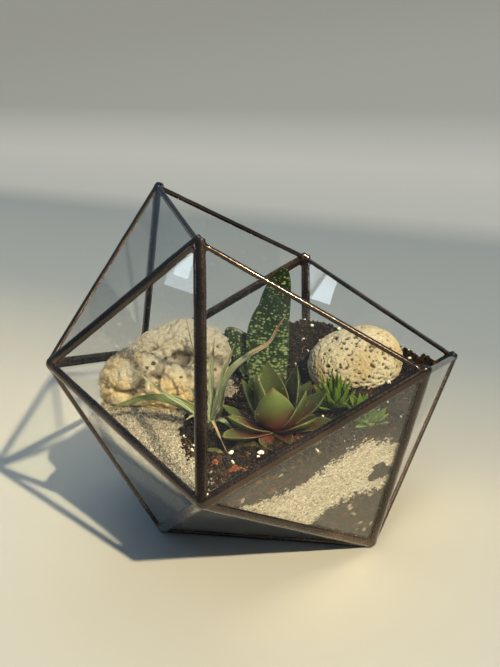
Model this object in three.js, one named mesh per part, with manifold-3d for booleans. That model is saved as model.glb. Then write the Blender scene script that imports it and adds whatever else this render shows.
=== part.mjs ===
// A planted glass terrarium. Its case is a regular icosahedron of leaded glass that lies on one of
// its twenty faces and has five faces left out, round one upper corner, as a tilted opening.
// Panes, soldered seams, soil, sand, stones and plants are separate solids. Units are millimetres,
// +Z is up, the underside of the base seams is z = 0 and +X points to the low side of the opening.
import * as THREE from 'three';
import { mergeVertices } from 'three/addons/utils/BufferGeometryUtils.js';
import { ConvexGeometry } from 'three/addons/geometries/ConvexGeometry.js';
import Module from 'manifold-3d';

const wasm = await Module();
wasm.setup();

// ---- Driving dimensions: the case ----
const EDGE = 120; // side of every glass triangle, from corner to corner
const GLASS = 2; // pane thickness
const PANE_INSET = 1.5; // from the edge line to the cut edge of a pane, on its outer face
const SOLDER_GAP = 0.22; // clearance of the seam strips from the panes
const BEAD_HALF = 2.5; // outer bead, from the edge line to its side
const BEAD_RISE = 0.95; // outer bead, height over the glass
const BEAD_EASE = 0.3; // width and height taken off the beads' corners
const INNER_HALF = 2.4; // inner bead, from the edge line to its side
const INNER_RISE = 0.8; // inner bead, height over the glass
const RIM_HALF = 2.9; // flange of the rim strips on the glass
const RIM_NOSE = 0.3; // rounded front of the rim strips, from the edge line
const MITRE_GAP = 0.3; // between the strips that meet in a corner
const FILL_GAP = 0.3; // between the filling and what it lies against

// ---- Driving dimensions: the filling ----
const SURFACE_LEVEL = 72; // mean height of the planted surface
const SAND_FLOOR = 42; // underside of the buried sand band
const SAND_TOP = 59; // its upper side
const BEACH_DEPTH = 4; // the layer of sand strewn round the limestone
const CELL = 14; // grid of the layers' surfaces
const ROOT_DEPTH = 9; // how far a stem goes into the soil

// Swellings of a layer's surface: x, y, height, radius.
const SURFACE_MOUNDS = [
  [46, -92, 13, 32],
  [0, -86, 3, 26],
  [-92, 0, 7, 38],
  [-50, 84, 6, 36],
  [44, 66, 4, 26],
  [104, 0, -6, 30],
];
const SAND_FLOOR_MOUNDS = [
  [-6, -80, -11, 14],
  [36, -76, 2.5, 24],
  [-84, -30, 3, 40],
];
const SAND_TOP_MOUNDS = [
  [28, -88, 19, 25],
  [-84, -30, 3, 30],
];

const UP = new THREE.Vector3(0, 0, 1);
const PHI = (1 + Math.sqrt(5)) / 2;
const RING = EDGE / Math.sqrt(3);
const WIDE_RING = PHI * RING;
const LEVELS = [0, RING, WIDE_RING, PHI * WIDE_RING].map((height) => height + BEAD_RISE);
const IN_RADIUS = (EDGE * PHI * PHI) / (2 * Math.sqrt(3));
const CENTRE = new THREE.Vector3(0, 0, IN_RADIUS + BEAD_RISE);

// ---- The twelve corners of the icosahedron; n is the one that is left open ----
function corner(radius, azimuth, level) {
  const turn = THREE.MathUtils.degToRad(azimuth);
  return new THREE.Vector3(radius * Math.cos(turn), radius * Math.sin(turn), LEVELS[level]);
}

const CORNERS = {
  a: corner(RING, 120, 3),
  b: corner(RING, -120, 3),
  n: corner(RING, 0, 3),
  c: corner(WIDE_RING, 180, 2),
  e: corner(WIDE_RING, -60, 2),
  g: corner(WIDE_RING, 60, 2),
  d: corner(WIDE_RING, -120, 1),
  f: corner(WIDE_RING, 0, 1),
  k: corner(WIDE_RING, 120, 1),
  h: corner(RING, -60, 0),
  i: corner(RING, 180, 0),
  l: corner(RING, 60, 0),
};
const PANES = [
  'abc', 'bcd', 'bde', 'deh', 'efh', 'fhl', 'fgl', 'gkl', 'agk', 'ack', 'cdi', 'cik', 'dhi',
  'ikl', 'hil',
];
const OPEN_FACES = ['abn', 'ben', 'efn', 'fgn', 'agn'];

// ---- Materials ----
function finish(color, roughness, metalness = 0, more = {}) {
  return new THREE.MeshStandardMaterial({ color, roughness, metalness, ...more });
}

const clearGlass = finish('#dfe8e6', 0.05, 0, { transparent: true, opacity: 0.25 });
const patinaSolder = finish('#3a2f28', 0.45, 0.8);
const pottingSoil = finish('#2c211a', 0.95);
const whiteSand = finish('#d9cdb2', 0.9);
const limestone = finish('#d8c8a6', 0.9);
const pumice = finish('#d9c39a', 0.9);
const airPlantLeaf = finish('#8c9a68', 0.6);
const houseleekLeaf = finish('#5f7a36', 0.5);
const gasteriaLeaf = finish('#2f4a26', 0.45);
const haworthiaLeaf = finish('#5b8a2c', 0.5);
const orangeBark = finish('#a0532a', 0.9);
const perlite = finish('#e9e6dd', 0.9);

// ---- Solids ----
function volumeOf(points, triangles) {
  let six = 0;
  for (const [p, q, r] of triangles) {
    six += points[p].dot(new THREE.Vector3().crossVectors(points[q], points[r]));
  }
  return six / 6;
}

// A closed body from shared points and triangles, turned so that its faces point out.
function closedBody(points, triangles) {
  const outward = volumeOf(points, triangles) > 0;
  const geometry = new THREE.BufferGeometry().setFromPoints(points);
  geometry.setIndex(triangles.flatMap(([p, q, r]) => (outward ? [p, q, r] : [p, r, q])));
  return geometry;
}

function toManifold(geometry) {
  const bare = geometry.clone();
  bare.deleteAttribute('normal');
  bare.deleteAttribute('uv');
  const merged = mergeVertices(bare, 1e-4);
  const vertProperties = new Float32Array(merged.attributes.position.array);
  const triVerts = new Uint32Array(merged.index.array);
  return new wasm.Manifold(new wasm.Mesh({ numProp: 3, vertProperties, triVerts }));
}

function toGeometry(solid) {
  const mesh = solid.getMesh();
  const geometry = new THREE.BufferGeometry();
  geometry.setAttribute('position', new THREE.BufferAttribute(mesh.vertProperties, 3));
  geometry.setIndex(new THREE.BufferAttribute(mesh.triVerts, 1));
  return geometry;
}

function fuse(solids) {
  return solids.reduce((whole, solid) => whole.add(solid));
}

// Joins rings of points one after another and closes both ends, as fans or as given triangles.
function loft(rings, capTriangles = null) {
  const size = rings[0].length;
  const points = rings.flat();
  const triangles = [];
  for (let r = 0; r + 1 < rings.length; r += 1) {
    for (let k = 0; k < size; k += 1) {
      const here = r * size + k;
      const beside = r * size + ((k + 1) % size);
      triangles.push([here, beside, here + size], [beside, beside + size, here + size]);
    }
  }
  const last = (rings.length - 1) * size;
  const fan = Array.from({ length: size - 2 }, (_, k) => [0, k + 1, k + 2]);
  for (const [p, q, r] of capTriangles ?? fan) {
    triangles.push([p, r, q], [last + p, last + q, last + r]);
  }
  return closedBody(points, triangles);
}

// ---- Panes ----
function outwardNormal(face) {
  const [p, q, r] = [...face].map((name) => CORNERS[name]);
  const normal = new THREE.Vector3().crossVectors(q.clone().sub(p), r.clone().sub(p)).normalize();
  return normal.dot(p.clone().sub(CENTRE)) > 0 ? normal : normal.negate();
}

function centroid(face) {
  const sum = new THREE.Vector3();
  for (const name of face) {
    sum.add(CORNERS[name]);
  }
  return sum.divideScalar(3);
}

// The face's triangle, its sides moved in by inset and the whole moved inwards by depth.
function faceTriangle(face, inset, depth) {
  const middle = centroid(face);
  const normal = outwardNormal(face);
  return [...face].map((name) => {
    const towards = middle.clone().sub(CORNERS[name]).normalize();
    return CORNERS[name].clone().addScaledVector(towards, 2 * inset).addScaledVector(normal, -depth);
  });
}

function pane(face) {
  return loft([faceTriangle(face, PANE_INSET, 0), faceTriangle(face, PANE_INSET, GLASS)]);
}

// ---- Seams ----
const HALF_FOLD = Math.acos(outwardNormal('bcd').dot(outwardNormal('bde'))) / 2;

// Half of a seam's section: distance from the edge line along the pane, and depth into the case.
// It runs from beside the outer crown to beside the inner crown.
const SEAM_PROFILE = [
  [BEAD_HALF / 2, -BEAD_RISE],
  [BEAD_HALF - BEAD_EASE, -BEAD_RISE + BEAD_EASE],
  [BEAD_HALF, -SOLDER_GAP],
  [PANE_INSET - SOLDER_GAP, -SOLDER_GAP],
  [PANE_INSET - SOLDER_GAP, GLASS + SOLDER_GAP],
  [INNER_HALF, GLASS + SOLDER_GAP],
  [INNER_HALF - BEAD_EASE, GLASS + INNER_RISE - BEAD_EASE],
];
const RIM_RISE = 0.65;
const RIM_PROFILE = [
  [RIM_HALF, -SOLDER_GAP],
  [RIM_HALF - BEAD_EASE, -RIM_RISE],
  [3 * RIM_NOSE, -RIM_RISE],
  [RIM_NOSE, BEAD_EASE],
  [RIM_NOSE, GLASS - BEAD_EASE],
  [3 * RIM_NOSE, GLASS + RIM_RISE],
  [RIM_HALF - BEAD_EASE, GLASS + RIM_RISE],
  [RIM_HALF, GLASS + SOLDER_GAP],
  [PANE_INSET - SOLDER_GAP, GLASS + SOLDER_GAP],
  [PANE_INSET - SOLDER_GAP, -SOLDER_GAP],
];

// Directions on one pane beside the edge from corner u to corner v.
function paneSide(u, v, face) {
  const third = [...face].find((name) => name !== u && name !== v);
  const middle = CORNERS[u].clone().add(CORNERS[v]).divideScalar(2);
  const across = CORNERS[third].clone().sub(middle).normalize();
  return { across, normal: outwardNormal(face) };
}

function offsetOn(side, [along, depth]) {
  return side.across.clone().multiplyScalar(along).addScaledVector(side.normal, -depth);
}

// Where a line of the section ends near a corner: half a mitre gap short of the planes through that
// corner, the middle of the case and each of the limits, which are points between the strips.
function mitred(offset, limits, from, to) {
  const start = CORNERS[from];
  const along = CORNERS[to].clone().sub(start).normalize();
  const axis = start.clone().sub(CENTRE);
  const runs = limits.map((limit) => {
    const plane = new THREE.Vector3().crossVectors(axis, limit.clone().sub(start)).normalize();
    if (plane.dot(along) < 0) {
      plane.negate();
    }
    return (MITRE_GAP / 2 - offset.dot(plane)) / along.dot(plane);
  });
  return start.clone().add(offset).addScaledVector(along, Math.max(...runs));
}

// Triangles that close a section, each turned the same way round as the section's own outline.
function capOf(offsets, sectionX, sectionY) {
  const flat = offsets.map((p) => new THREE.Vector2(p.dot(sectionX), p.dot(sectionY)));
  const side = Math.sign(THREE.ShapeUtils.area(flat));
  return THREE.ShapeUtils.triangulateShape(flat, []).map(([p, q, r]) =>
    Math.sign(THREE.ShapeUtils.area([flat[p], flat[q], flat[r]])) === side ? [p, q, r] : [p, r, q]);
}

function strip(u, v, faces) {
  const sides = faces.map((face) => paneSide(u, v, face));
  if (sides.length === 1) {
    const limits = [centroid(faces[0]), CORNERS.n];
    const lines = RIM_PROFILE.map((point) => ({ offset: offsetOn(sides[0], point), limits }));
    const cap = capOf(lines.map((line) => line.offset), sides[0].across, sides[0].normal);
    return stripBetween(u, v, lines, cap);
  }
  const fold = sides[0].normal.clone().add(sides[1].normal).normalize();
  const width = sides[0].across.clone().sub(sides[1].across).normalize();
  const crown = fold.clone().multiplyScalar(BEAD_RISE / Math.cos(HALF_FOLD));
  const keel = fold.clone().multiplyScalar(-(GLASS + INNER_RISE) / Math.cos(HALF_FOLD));
  const halves = sides.map((side) => SEAM_PROFILE.map((point) => offsetOn(side, point)));
  const limits = faces.map((face) => [centroid(face)]);
  const size = SEAM_PROFILE.length;
  const lines = [
    { offset: crown, limits: limits[0] },
    ...halves[0].map((offset) => ({ offset, limits: limits[0] })),
    { offset: keel, limits: limits[0] },
    ...halves[1].toReversed().map((offset) => ({ offset, limits: limits[1] })),
  ];
  const first = Array.from({ length: size + 2 }, (_, k) => k);
  const second = Array.from({ length: size + 2 }, (_, k) => (size + 1 + k) % lines.length);
  const cap = [first, second].flatMap((half) =>
    capOf(half.map((k) => lines[k].offset), width, fold).map((triangle) =>
      triangle.map((k) => half[k])));
  return stripBetween(u, v, lines, cap);
}

function stripBetween(u, v, lines, cap) {
  const start = lines.map(({ offset, limits }) => mitred(offset, limits, u, v));
  const end = lines.map(({ offset, limits }) => mitred(offset, limits, v, u));
  return loft([start, end], cap);
}

// Every edge of the case with the panes on it: two make a seam, one makes a rim.
function edgesOfCase() {
  const found = new Map();
  for (const face of PANES) {
    for (const edge of [face[0] + face[1], face[1] + face[2], face[0] + face[2]]) {
      found.set(edge, [...(found.get(edge) ?? []), face]);
    }
  }
  return found;
}

// ---- The room inside, clear of the glass and of the inner beads ----
function innerRoom() {
  const faceDepth = GLASS + FILL_GAP;
  const [ridgeX, ridgeDepth] = SEAM_PROFILE[SEAM_PROFILE.length - 1];
  const chamfer = ridgeX * Math.sin(HALF_FOLD) + ridgeDepth * Math.cos(HALF_FOLD) + FILL_GAP;
  const inset = (chamfer - faceDepth * Math.cos(HALF_FOLD)) / Math.sin(HALF_FOLD);
  const points = [...PANES, ...OPEN_FACES].flatMap((face) => faceTriangle(face, inset, faceDepth));
  const cornerReach = IN_RADIUS / CORNERS.a.distanceTo(CENTRE);
  for (const place of Object.values(CORNERS)) {
    const inwards = CENTRE.clone().sub(place).normalize();
    points.push(place.clone().addScaledVector(inwards, chamfer / cornerReach));
  }
  return toManifold(new ConvexGeometry(points));
}

const ROOM = innerRoom();

// ---- Layers ----
function swollen(level, mounds) {
  return (x, y) => mounds.reduce(
    (height, [mx, my, rise, radius]) =>
      height + rise * Math.exp(-((x - mx) ** 2 + (y - my) ** 2) / (radius * radius)),
    level,
  );
}

const surfaceAt = swollen(SURFACE_LEVEL, SURFACE_MOUNDS);
const sandFloorAt = swollen(SAND_FLOOR, SAND_FLOOR_MOUNDS);
const sandTopAt = swollen(SAND_TOP, SAND_TOP_MOUNDS);
const BELOW = -20;
const ABOVE = 220;

// Everything between two height functions, on a grid wider than the case.
function between(lowAt, highAt) {
  const nx = 2 * Math.ceil(WIDE_RING / CELL);
  const ny = nx;
  const rows = [];
  for (const heightAt of [lowAt, highAt]) {
    for (let j = 0; j <= ny; j += 1) {
      for (let i = 0; i <= nx; i += 1) {
        const x = (i - nx / 2) * CELL;
        const y = (j - ny / 2) * CELL;
        rows.push(new THREE.Vector3(x, y, heightAt(x, y)));
      }
    }
  }
  const layer = (nx + 1) * (ny + 1);
  const at = (i, j) => j * (nx + 1) + i;
  const triangles = [];
  for (let j = 0; j < ny; j += 1) {
    for (let i = 0; i < nx; i += 1) {
      const [p, q, r, s] = [at(i, j), at(i + 1, j), at(i + 1, j + 1), at(i, j + 1)];
      triangles.push([layer + p, layer + q, layer + r], [layer + p, layer + r, layer + s]);
      triangles.push([p, r, q], [p, s, r]);
    }
  }
  const wall = (p, q) => triangles.push([p, q, layer + q], [p, layer + q, layer + p]);
  for (let i = 0; i < nx; i += 1) {
    wall(at(i, 0), at(i + 1, 0));
    wall(at(i + 1, ny), at(i, ny));
  }
  for (let j = 0; j < ny; j += 1) {
    wall(at(nx, j), at(nx, j + 1));
    wall(at(0, j + 1), at(0, j));
  }
  return toManifold(closedBody(rows, triangles));
}

function raised(heightAt, by) {
  return (x, y) => heightAt(x, y) + by;
}

const bottomSoil = between(() => BELOW, sandFloorAt).intersect(ROOM);
const sandBand = between(raised(sandFloorAt, FILL_GAP), sandTopAt).intersect(ROOM);
const overSand = between(raised(sandTopAt, FILL_GAP), surfaceAt).intersect(ROOM);
const groundCutter = between(() => BELOW, raised(surfaceAt, FILL_GAP));

// The strewn sand lies on the left, inside this shore line, and in the hollow made for it.
const SHORE = [
  [-48, -110], [-49, -66], [-52, -38], [-40, -8], [-16, 8], [-16, 44], [-42, 66], [-130, 80],
];

const SHORE_GAP = 0.4;

function beachPrism(shiftX, shiftY) {
  const points = SHORE.map(([x, y]) => new THREE.Vector2(x + shiftX, y + shiftY));
  const shape = new THREE.Shape();
  shape.moveTo(-140, -110);
  shape.lineTo(points[0].x, points[0].y);
  shape.splineThru(points.slice(1));
  const prism = new THREE.ExtrudeGeometry(shape, {
    depth: ABOVE,
    bevelEnabled: false,
    curveSegments: 12,
  });
  return toManifold(prism);
}

const beach = between(raised(surfaceAt, -BEACH_DEPTH), surfaceAt)
  .intersect(beachPrism(0, 0))
  .intersect(ROOM);
const beachHollow = between(raised(surfaceAt, -BEACH_DEPTH - FILL_GAP), raised(surfaceAt, 20))
  .intersect(beachPrism(SHORE_GAP, SHORE_GAP).add(beachPrism(SHORE_GAP, -SHORE_GAP)));

// ---- Stones ----
// Adds low waves in a few fixed directions, so that a round body becomes an uneven one.
function waviness(point, pitch) {
  const { x, y, z } = point;
  const wave = (a, b, c, phase) => Math.sin((a * x + b * y + c * z) / pitch + phase);
  return (wave(1, 0.4, -0.3, 0.5) + wave(-0.5, 1, 0.6, 1.9) + wave(0.3, -0.7, 1, 4.2)) / 3;
}

function boulder({ at, radii, detail, pitch, rise }) {
  const ball = new THREE.IcosahedronGeometry(1, detail);
  const place = ball.attributes.position;
  const point = new THREE.Vector3();
  for (let k = 0; k < place.count; k += 1) {
    point.fromBufferAttribute(place, k);
    const outwards = point.clone();
    point.multiply(new THREE.Vector3(...radii));
    point.addScaledVector(outwards, rise * waviness(point, pitch));
    point.add(new THREE.Vector3(...at));
    place.setXYZ(k, point.x, point.y, point.z);
  }
  return toManifold(ball);
}

const LIMESTONE_LOBES = [
  { at: [-66, 19, 86], radii: [22, 20, 18] },
  { at: [-42, 28, 89], radii: [29, 21, 21] },
  { at: [-48, 8, 82], radii: [20, 16, 16] },
  { at: [-30, 17, 90], radii: [15, 17, 19] },
];
const limestoneRock = fuse(
  LIMESTONE_LOBES.map((lobe) => boulder({ ...lobe, detail: 4, pitch: 6, rise: 1.8 })),
).subtract(groundCutter).intersect(ROOM);
const pumiceStone = boulder({ at: [51, -2, 80.5], radii: [27, 24, 18.5], detail: 6, pitch: 9, rise: 1 })
  .subtract(groundCutter);

function chip({ at, size, turn }) {
  const geometry = new THREE.IcosahedronGeometry(1, 0);
  geometry.scale(...size.map((side) => side / 2));
  geometry.rotateZ(THREE.MathUtils.degToRad(turn));
  const [x, y] = at;
  geometry.translate(x, y, surfaceAt(x, y) + size[2] / 4);
  return toManifold(geometry).subtract(groundCutter);
}

const CHIPS = {
  bark_chip_1: { at: [-43, -67], size: [8, 4, 3], turn: 60 },
  bark_chip_2: { at: [-35, -77], size: [9, 5, 3.5], turn: 15 },
  perlite_1: { at: [-20, -68], size: [4, 3.4, 3], turn: 0 },
  perlite_2: { at: [-33, -60], size: [3.4, 2.8, 2.6], turn: 40 },
};

// ---- Leaves ----
// A leaf's section in units of half its width and of its thickness: sharp edges, a keel below and
// a shallow hollow above.
const LEAF_SECTION = [
  [-1, 0.1], [-0.55, -0.35], [0, -0.6], [0.55, -0.35], [1, 0.1], [0.5, 0.22], [0, 0.12], [-0.5, 0.22],
];
const CUPPED_SECTION = [[-1, 0.1], [0, -0.6], [1, 0.1], [0.4, 0.2], [-0.4, 0.2]];
const BLADE_SECTION = [[-1, 0.2], [0, -0.6], [1, 0.2], [0, 0.4]];
const SPIKE_SECTION = [[-1, 0.3], [0, -0.7], [1, 0.3]];

// Outlines: a leaf's half width along its length, in parts of the greatest half width.
function spoonOutline(t) {
  const body = Math.sin((Math.PI / 2) * Math.min(t / 0.55, 1));
  const point = 1 - Math.max(0, (t - 0.5) / 0.5) ** 2.1;
  return (0.45 + 0.55 * body) * point;
}

function tongueOutline(t) {
  return (0.82 + 0.18 * Math.sin(Math.PI * t)) * Math.sqrt(Math.max(0, 1 - t ** 5));
}

function strapOutline(t) {
  return 1 - 0.93 * t ** 1.3;
}

function spikeOutline(t) {
  return Math.min(1, 0.4 + 1.8 * t) * Math.sqrt(Math.max(0, 1 - t ** 2));
}

// A leaf along a curve. Its face stays level across the line sideways, which points to its right,
// unless it is tilted about its own length.
function leaf({ spine, sideways, width, thickness, outline, section, steps, cup = 0, tilt = 0 }) {
  const rings = [];
  for (let k = 0; k < steps; k += 1) {
    const t = (k / steps) * 0.97;
    const centre = spine.getPoint(t);
    const along = spine.getTangent(t);
    const across = sideways.clone().addScaledVector(along, -sideways.dot(along)).normalize()
      .applyAxisAngle(along, -THREE.MathUtils.degToRad(tilt) * Math.min(4 * t, 1));
    const over = new THREE.Vector3().crossVectors(across, along);
    const half = (width / 2) * outline(t);
    const thick = thickness * Math.max(0.3, Math.sqrt(1 - t * t));
    rings.push(section.map(([x, y]) => centre.clone()
      .addScaledVector(across, x * half)
      .addScaledVector(over, y * thick + cup * half * x * x)));
  }
  const tip = spine.getPoint(1);
  const last = rings[rings.length - 1];
  rings.push(last.map((point) => tip.clone().lerp(point, 0.08)));
  return toManifold(loft(rings));
}

// A leaf that leaves a stem in a given heading, bowed like a bent rod, to a reach and a height.
// A belly pushes its middle further out.
function bowed(base, { heading, reach, height, bow, belly = 0 }) {
  const turn = THREE.MathUtils.degToRad(heading);
  const out = new THREE.Vector3(Math.cos(turn), Math.sin(turn), 0);
  const start = base.clone().addScaledVector(out, 1);
  const middle = base.clone()
    .addScaledVector(out, reach * (0.5 + bow) + belly)
    .addScaledVector(UP, height * (0.5 - bow));
  const tip = base.clone().addScaledVector(out, reach).addScaledVector(UP, height);
  const spine = new THREE.QuadraticBezierCurve3(start, middle, tip);
  return { spine, sideways: new THREE.Vector3(out.y, -out.x, 0) };
}

function post(x, y, radius, depth, height) {
  const geometry = new THREE.CylinderGeometry(radius, radius, depth + height, 8);
  geometry.rotateX(Math.PI / 2);
  geometry.translate(x, y, surfaceAt(x, y) + (height - depth) / 2);
  return toManifold(geometry);
}

// Leaves stop short of the ground; the stem goes through it.
function planted({ x, y, stem, root }, leaves, height) {
  return fuse(leaves).subtract(groundCutter).add(post(x, y, stem, root, height));
}

function rootHole({ x, y, stem, root }) {
  return post(x, y, stem + FILL_GAP / Math.cos(Math.PI / 8), root + FILL_GAP, 10);
}

// ---- Houseleek: a bud of cupped, pointed leaves with looser ones round it ----
const HOUSELEEK = { x: -8, y: -50, stem: 4, root: ROOT_DEPTH };
// Heading, reach, height over the ground, width, belly.
const HOUSELEEK_LEAVES = [
  [80, 4, 38, 17, 5], [182, 6, 35, 21, 6], [-98, 8, 30, 22, 6], [8, 15, 34, 20, 4],
  [-32, 18, 25, 18, 3], [60, 20, 24, 15, 0], [108, 20, 24, 14, 0], [146, 15, 30, 12, 0],
  [-4, 28, 19, 16, 0], [-52, 26, 15, 16, 0], [-172, 24, 17, 14, 0], [154, 26, 17, 9, 0],
  [30, 28, 18, 14, 0], [-34, 32, 8, 14, 0], [-158, 31, 11, 14, 0], [-103, 21, 1, 17, 0],
  [-68, 29, 3, 15, 0], [84, 26, 14, 13, 0],
];

function houseleek() {
  const { x, y } = HOUSELEEK;
  const base = new THREE.Vector3(x, y, surfaceAt(x, y) + 2);
  const leaves = HOUSELEEK_LEAVES.map(([heading, reach, height, width, belly]) => leaf({
    ...bowed(base, { heading, reach, height: height - 2, bow: 0.22, belly }),
    width,
    thickness: 3,
    outline: spoonOutline,
    section: CUPPED_SECTION,
    steps: 5,
    cup: 0.35,
  }));
  return planted(HOUSELEEK, leaves, 5);
}

// ---- Gasteria: thick upright tongues in two ranks ----
const GASTERIA = { x: 4, y: 12, stem: 6, root: ROOT_DEPTH };
const GASTERIA_LEAVES = [
  { foot: [3, 7], tip: [13, 8], height: 51, width: 24, thickness: 9, facing: -22 },
  { foot: [8, 17], tip: [21, 13], height: 64, width: 19, thickness: 8, facing: -10 },
  { foot: [-2, 14], tip: [-14, 21], height: 33, width: 15, thickness: 6, facing: -8 },
];

function gasteria() {
  const ground = surfaceAt(GASTERIA.x, GASTERIA.y);
  const leaves = GASTERIA_LEAVES.map(({ foot, tip, height, width, thickness, facing }) => {
    const start = new THREE.Vector3(foot[0], foot[1], ground - 1);
    const end = new THREE.Vector3(tip[0], tip[1], ground + height);
    const middle = new THREE.Vector3(foot[0], foot[1], ground + height * 0.55);
    const turn = THREE.MathUtils.degToRad(facing);
    return leaf({
      spine: new THREE.QuadraticBezierCurve3(start, middle, end),
      sideways: new THREE.Vector3(Math.cos(turn), Math.sin(turn), 0),
      width,
      thickness,
      outline: tongueOutline,
      section: LEAF_SECTION,
      steps: 9,
    });
  });
  return planted(GASTERIA, leaves, 4);
}

// ---- Air plant: narrow arching straps ----
const AIR_PLANT = { x: -37, y: -31, stem: 3.5, root: ROOT_DEPTH };
// Each strap's heading, width and tilt, then reach and height of the points that it passes.
const AIR_PLANT_LEAVES = [
  [158, 7, 45, [[8, 10], [18, 16.5], [30, 18.5], [44, 15.5], [54, 11.5]]],
  [180, 3, 50, [[11, 15], [20, 24], [30, 36], [38, 46]]],
  [165, 4, 0, [[2, 14], [1, 30], [3, 46], [4, 61]]],
  [0, 4, -30, [[4, 12], [9, 27], [14, 36], [18, 44]]],
  [0, 6, -30, [[6, 9], [9, 21], [15, 30], [25, 36], [35, 40], [40, 47], [45, 53]]],
  [60, 4, 0, [[5, 12], [11, 26], [16, 34], [22, 41]]],
  [-135, 5, 0, [[6, 8], [12, 13], [19, 14]]],
  [-62, 6, 0, [[6, 6], [12, 7], [19, 4]]],
  [-88, 2.4, 0, [[4, 6], [10, 6.5], [22, 4], [34, 2.5]]],
  [120, 5, 0, [[5, 9], [10, 17], [16, 20]]],
];

function airPlant() {
  const { x, y } = AIR_PLANT;
  const base = new THREE.Vector3(x, y, surfaceAt(x, y) + 1);
  const leaves = AIR_PLANT_LEAVES.map(([heading, width, tilt, passes]) => {
    const turn = THREE.MathUtils.degToRad(heading);
    const out = new THREE.Vector3(Math.cos(turn), Math.sin(turn), 0);
    const points = passes.map(([reach, height]) =>
      base.clone().addScaledVector(out, reach).addScaledVector(UP, height));
    return leaf({
      spine: new THREE.CatmullRomCurve3([base.clone(), ...points]),
      sideways: new THREE.Vector3(out.y, -out.x, 0),
      width,
      tilt,
      thickness: 1.4,
      outline: strapOutline,
      section: BLADE_SECTION,
      steps: 3 + 2 * passes.length,
    });
  });
  return planted(AIR_PLANT, leaves, 6);
}

// ---- Haworthias: small dense rosettes of pointed leaves, set by the golden angle ----
const GOLDEN_ANGLE = 180 * (3 - Math.sqrt(5));
const HAWORTHIA_STEM = 2.5;
const HAWORTHIAS = {
  haworthia_1: { x: 27, y: -38, root: 9, reach: 13, height: 21, width: 6, count: 26, turn: 20 },
  haworthia_2: { x: 36, y: -54, root: 6, reach: 11, height: 11, width: 4.6, count: 15, turn: 75 },
  haworthia_3: { x: 33, y: -77, root: 4, reach: 12, height: 8, width: 5, count: 12, turn: 140 },
};

function haworthia(plant) {
  const { x, y, reach, height, width, count, turn } = plant;
  const base = new THREE.Vector3(x, y, surfaceAt(x, y) + 1.5);
  const leaves = Array.from({ length: count }, (_, k) => {
    const spread = Math.sqrt((k + 0.5) / count);
    return leaf({
      ...bowed(base, {
        heading: turn + k * GOLDEN_ANGLE,
        reach: 2 + (reach - 2) * spread,
        height: 2.5 + (height - 4) * (1 - 0.8 * spread * spread),
        bow: 0.15,
      }),
      width,
      thickness: 2,
      outline: spikeOutline,
      section: SPIKE_SECTION,
      steps: 3,
    });
  });
  return planted({ ...plant, stem: HAWORTHIA_STEM }, leaves, 3);
}

const ROOTED = [
  HOUSELEEK,
  GASTERIA,
  AIR_PLANT,
  ...Object.values(HAWORTHIAS).map((plant) => ({ ...plant, stem: HAWORTHIA_STEM })),
];
const topSoil = overSand.subtract(beachHollow).subtract(fuse(ROOTED.map(rootHole)));

// ---- The whole ----
const terrarium = new THREE.Group();
terrarium.name = 'planted_terrarium';

function put(name, geometry, material) {
  const mesh = new THREE.Mesh(geometry, material);
  mesh.name = name;
  terrarium.add(mesh);
}

for (const face of PANES) {
  put(`pane_${face}`, pane(face), clearGlass);
}
for (const [edge, faces] of edgesOfCase()) {
  const kind = faces.length === 1 ? 'rim' : 'seam';
  put(`${kind}_${edge}`, strip(edge[0], edge[1], faces), patinaSolder);
}
put('bottom_soil', toGeometry(bottomSoil), pottingSoil);
put('sand_band', toGeometry(sandBand), whiteSand);
put('top_soil', toGeometry(topSoil), pottingSoil);
put('strewn_sand', toGeometry(beach), whiteSand);
put('limestone_rock', toGeometry(limestoneRock), limestone);
put('pumice_stone', toGeometry(pumiceStone), pumice);
put('houseleek', toGeometry(houseleek()), houseleekLeaf);
put('gasteria', toGeometry(gasteria()), gasteriaLeaf);
put('air_plant', toGeometry(airPlant()), airPlantLeaf);
for (const [name, plant] of Object.entries(HAWORTHIAS)) {
  put(name, toGeometry(haworthia(plant)), haworthiaLeaf);
}
for (const [name, piece] of Object.entries(CHIPS)) {
  put(name, toGeometry(chip(piece)), name.startsWith('bark') ? orangeBark : perlite);
}

export default terrarium;
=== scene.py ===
# %% [markdown]
# # A glass terrarium with stones and succulents
# Fifteen equal triangles of glass are soldered edge to edge into most of an icosahedron. It lies
# on one face, and the five triangles round one of its three highest corners are left out for a
# hand to reach in. Inside are potting soil, a band of white sand, two stones and six small plants.
# The CAD model is loaded first, as a frame that never moves. Each piece below is made round it.

# %% The frame
import itertools
import math

import bmesh
import bpy
import numpy as np
from mathutils import Matrix, Vector, kdtree


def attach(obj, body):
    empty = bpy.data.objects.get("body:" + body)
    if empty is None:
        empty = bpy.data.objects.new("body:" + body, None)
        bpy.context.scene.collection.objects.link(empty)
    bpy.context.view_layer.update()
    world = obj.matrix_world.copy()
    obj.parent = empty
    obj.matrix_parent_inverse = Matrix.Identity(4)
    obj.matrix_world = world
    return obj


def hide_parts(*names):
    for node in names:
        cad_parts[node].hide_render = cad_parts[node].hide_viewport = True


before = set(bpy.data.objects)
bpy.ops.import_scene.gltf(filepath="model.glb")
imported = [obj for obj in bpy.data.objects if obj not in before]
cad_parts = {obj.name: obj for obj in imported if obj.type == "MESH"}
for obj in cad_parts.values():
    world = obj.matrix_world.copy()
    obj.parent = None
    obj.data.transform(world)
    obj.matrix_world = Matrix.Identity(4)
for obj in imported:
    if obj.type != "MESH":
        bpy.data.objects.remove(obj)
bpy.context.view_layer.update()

MM = 0.001  # the sizes below are in millimetres, and Blender's are in metres

# %% [markdown]
# ## Camera
# A long lens from above and to the left, so that the view goes in over the low rim. The camera's
# three axes are written out as a matrix, which leaves no angle to guess.

# %% Camera
def in_scene(name, data):
    """A new object in the scene for a mesh, a lamp or a lens."""
    made = bpy.data.objects.new(name, data)
    bpy.context.scene.collection.objects.link(made)
    return made


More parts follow.
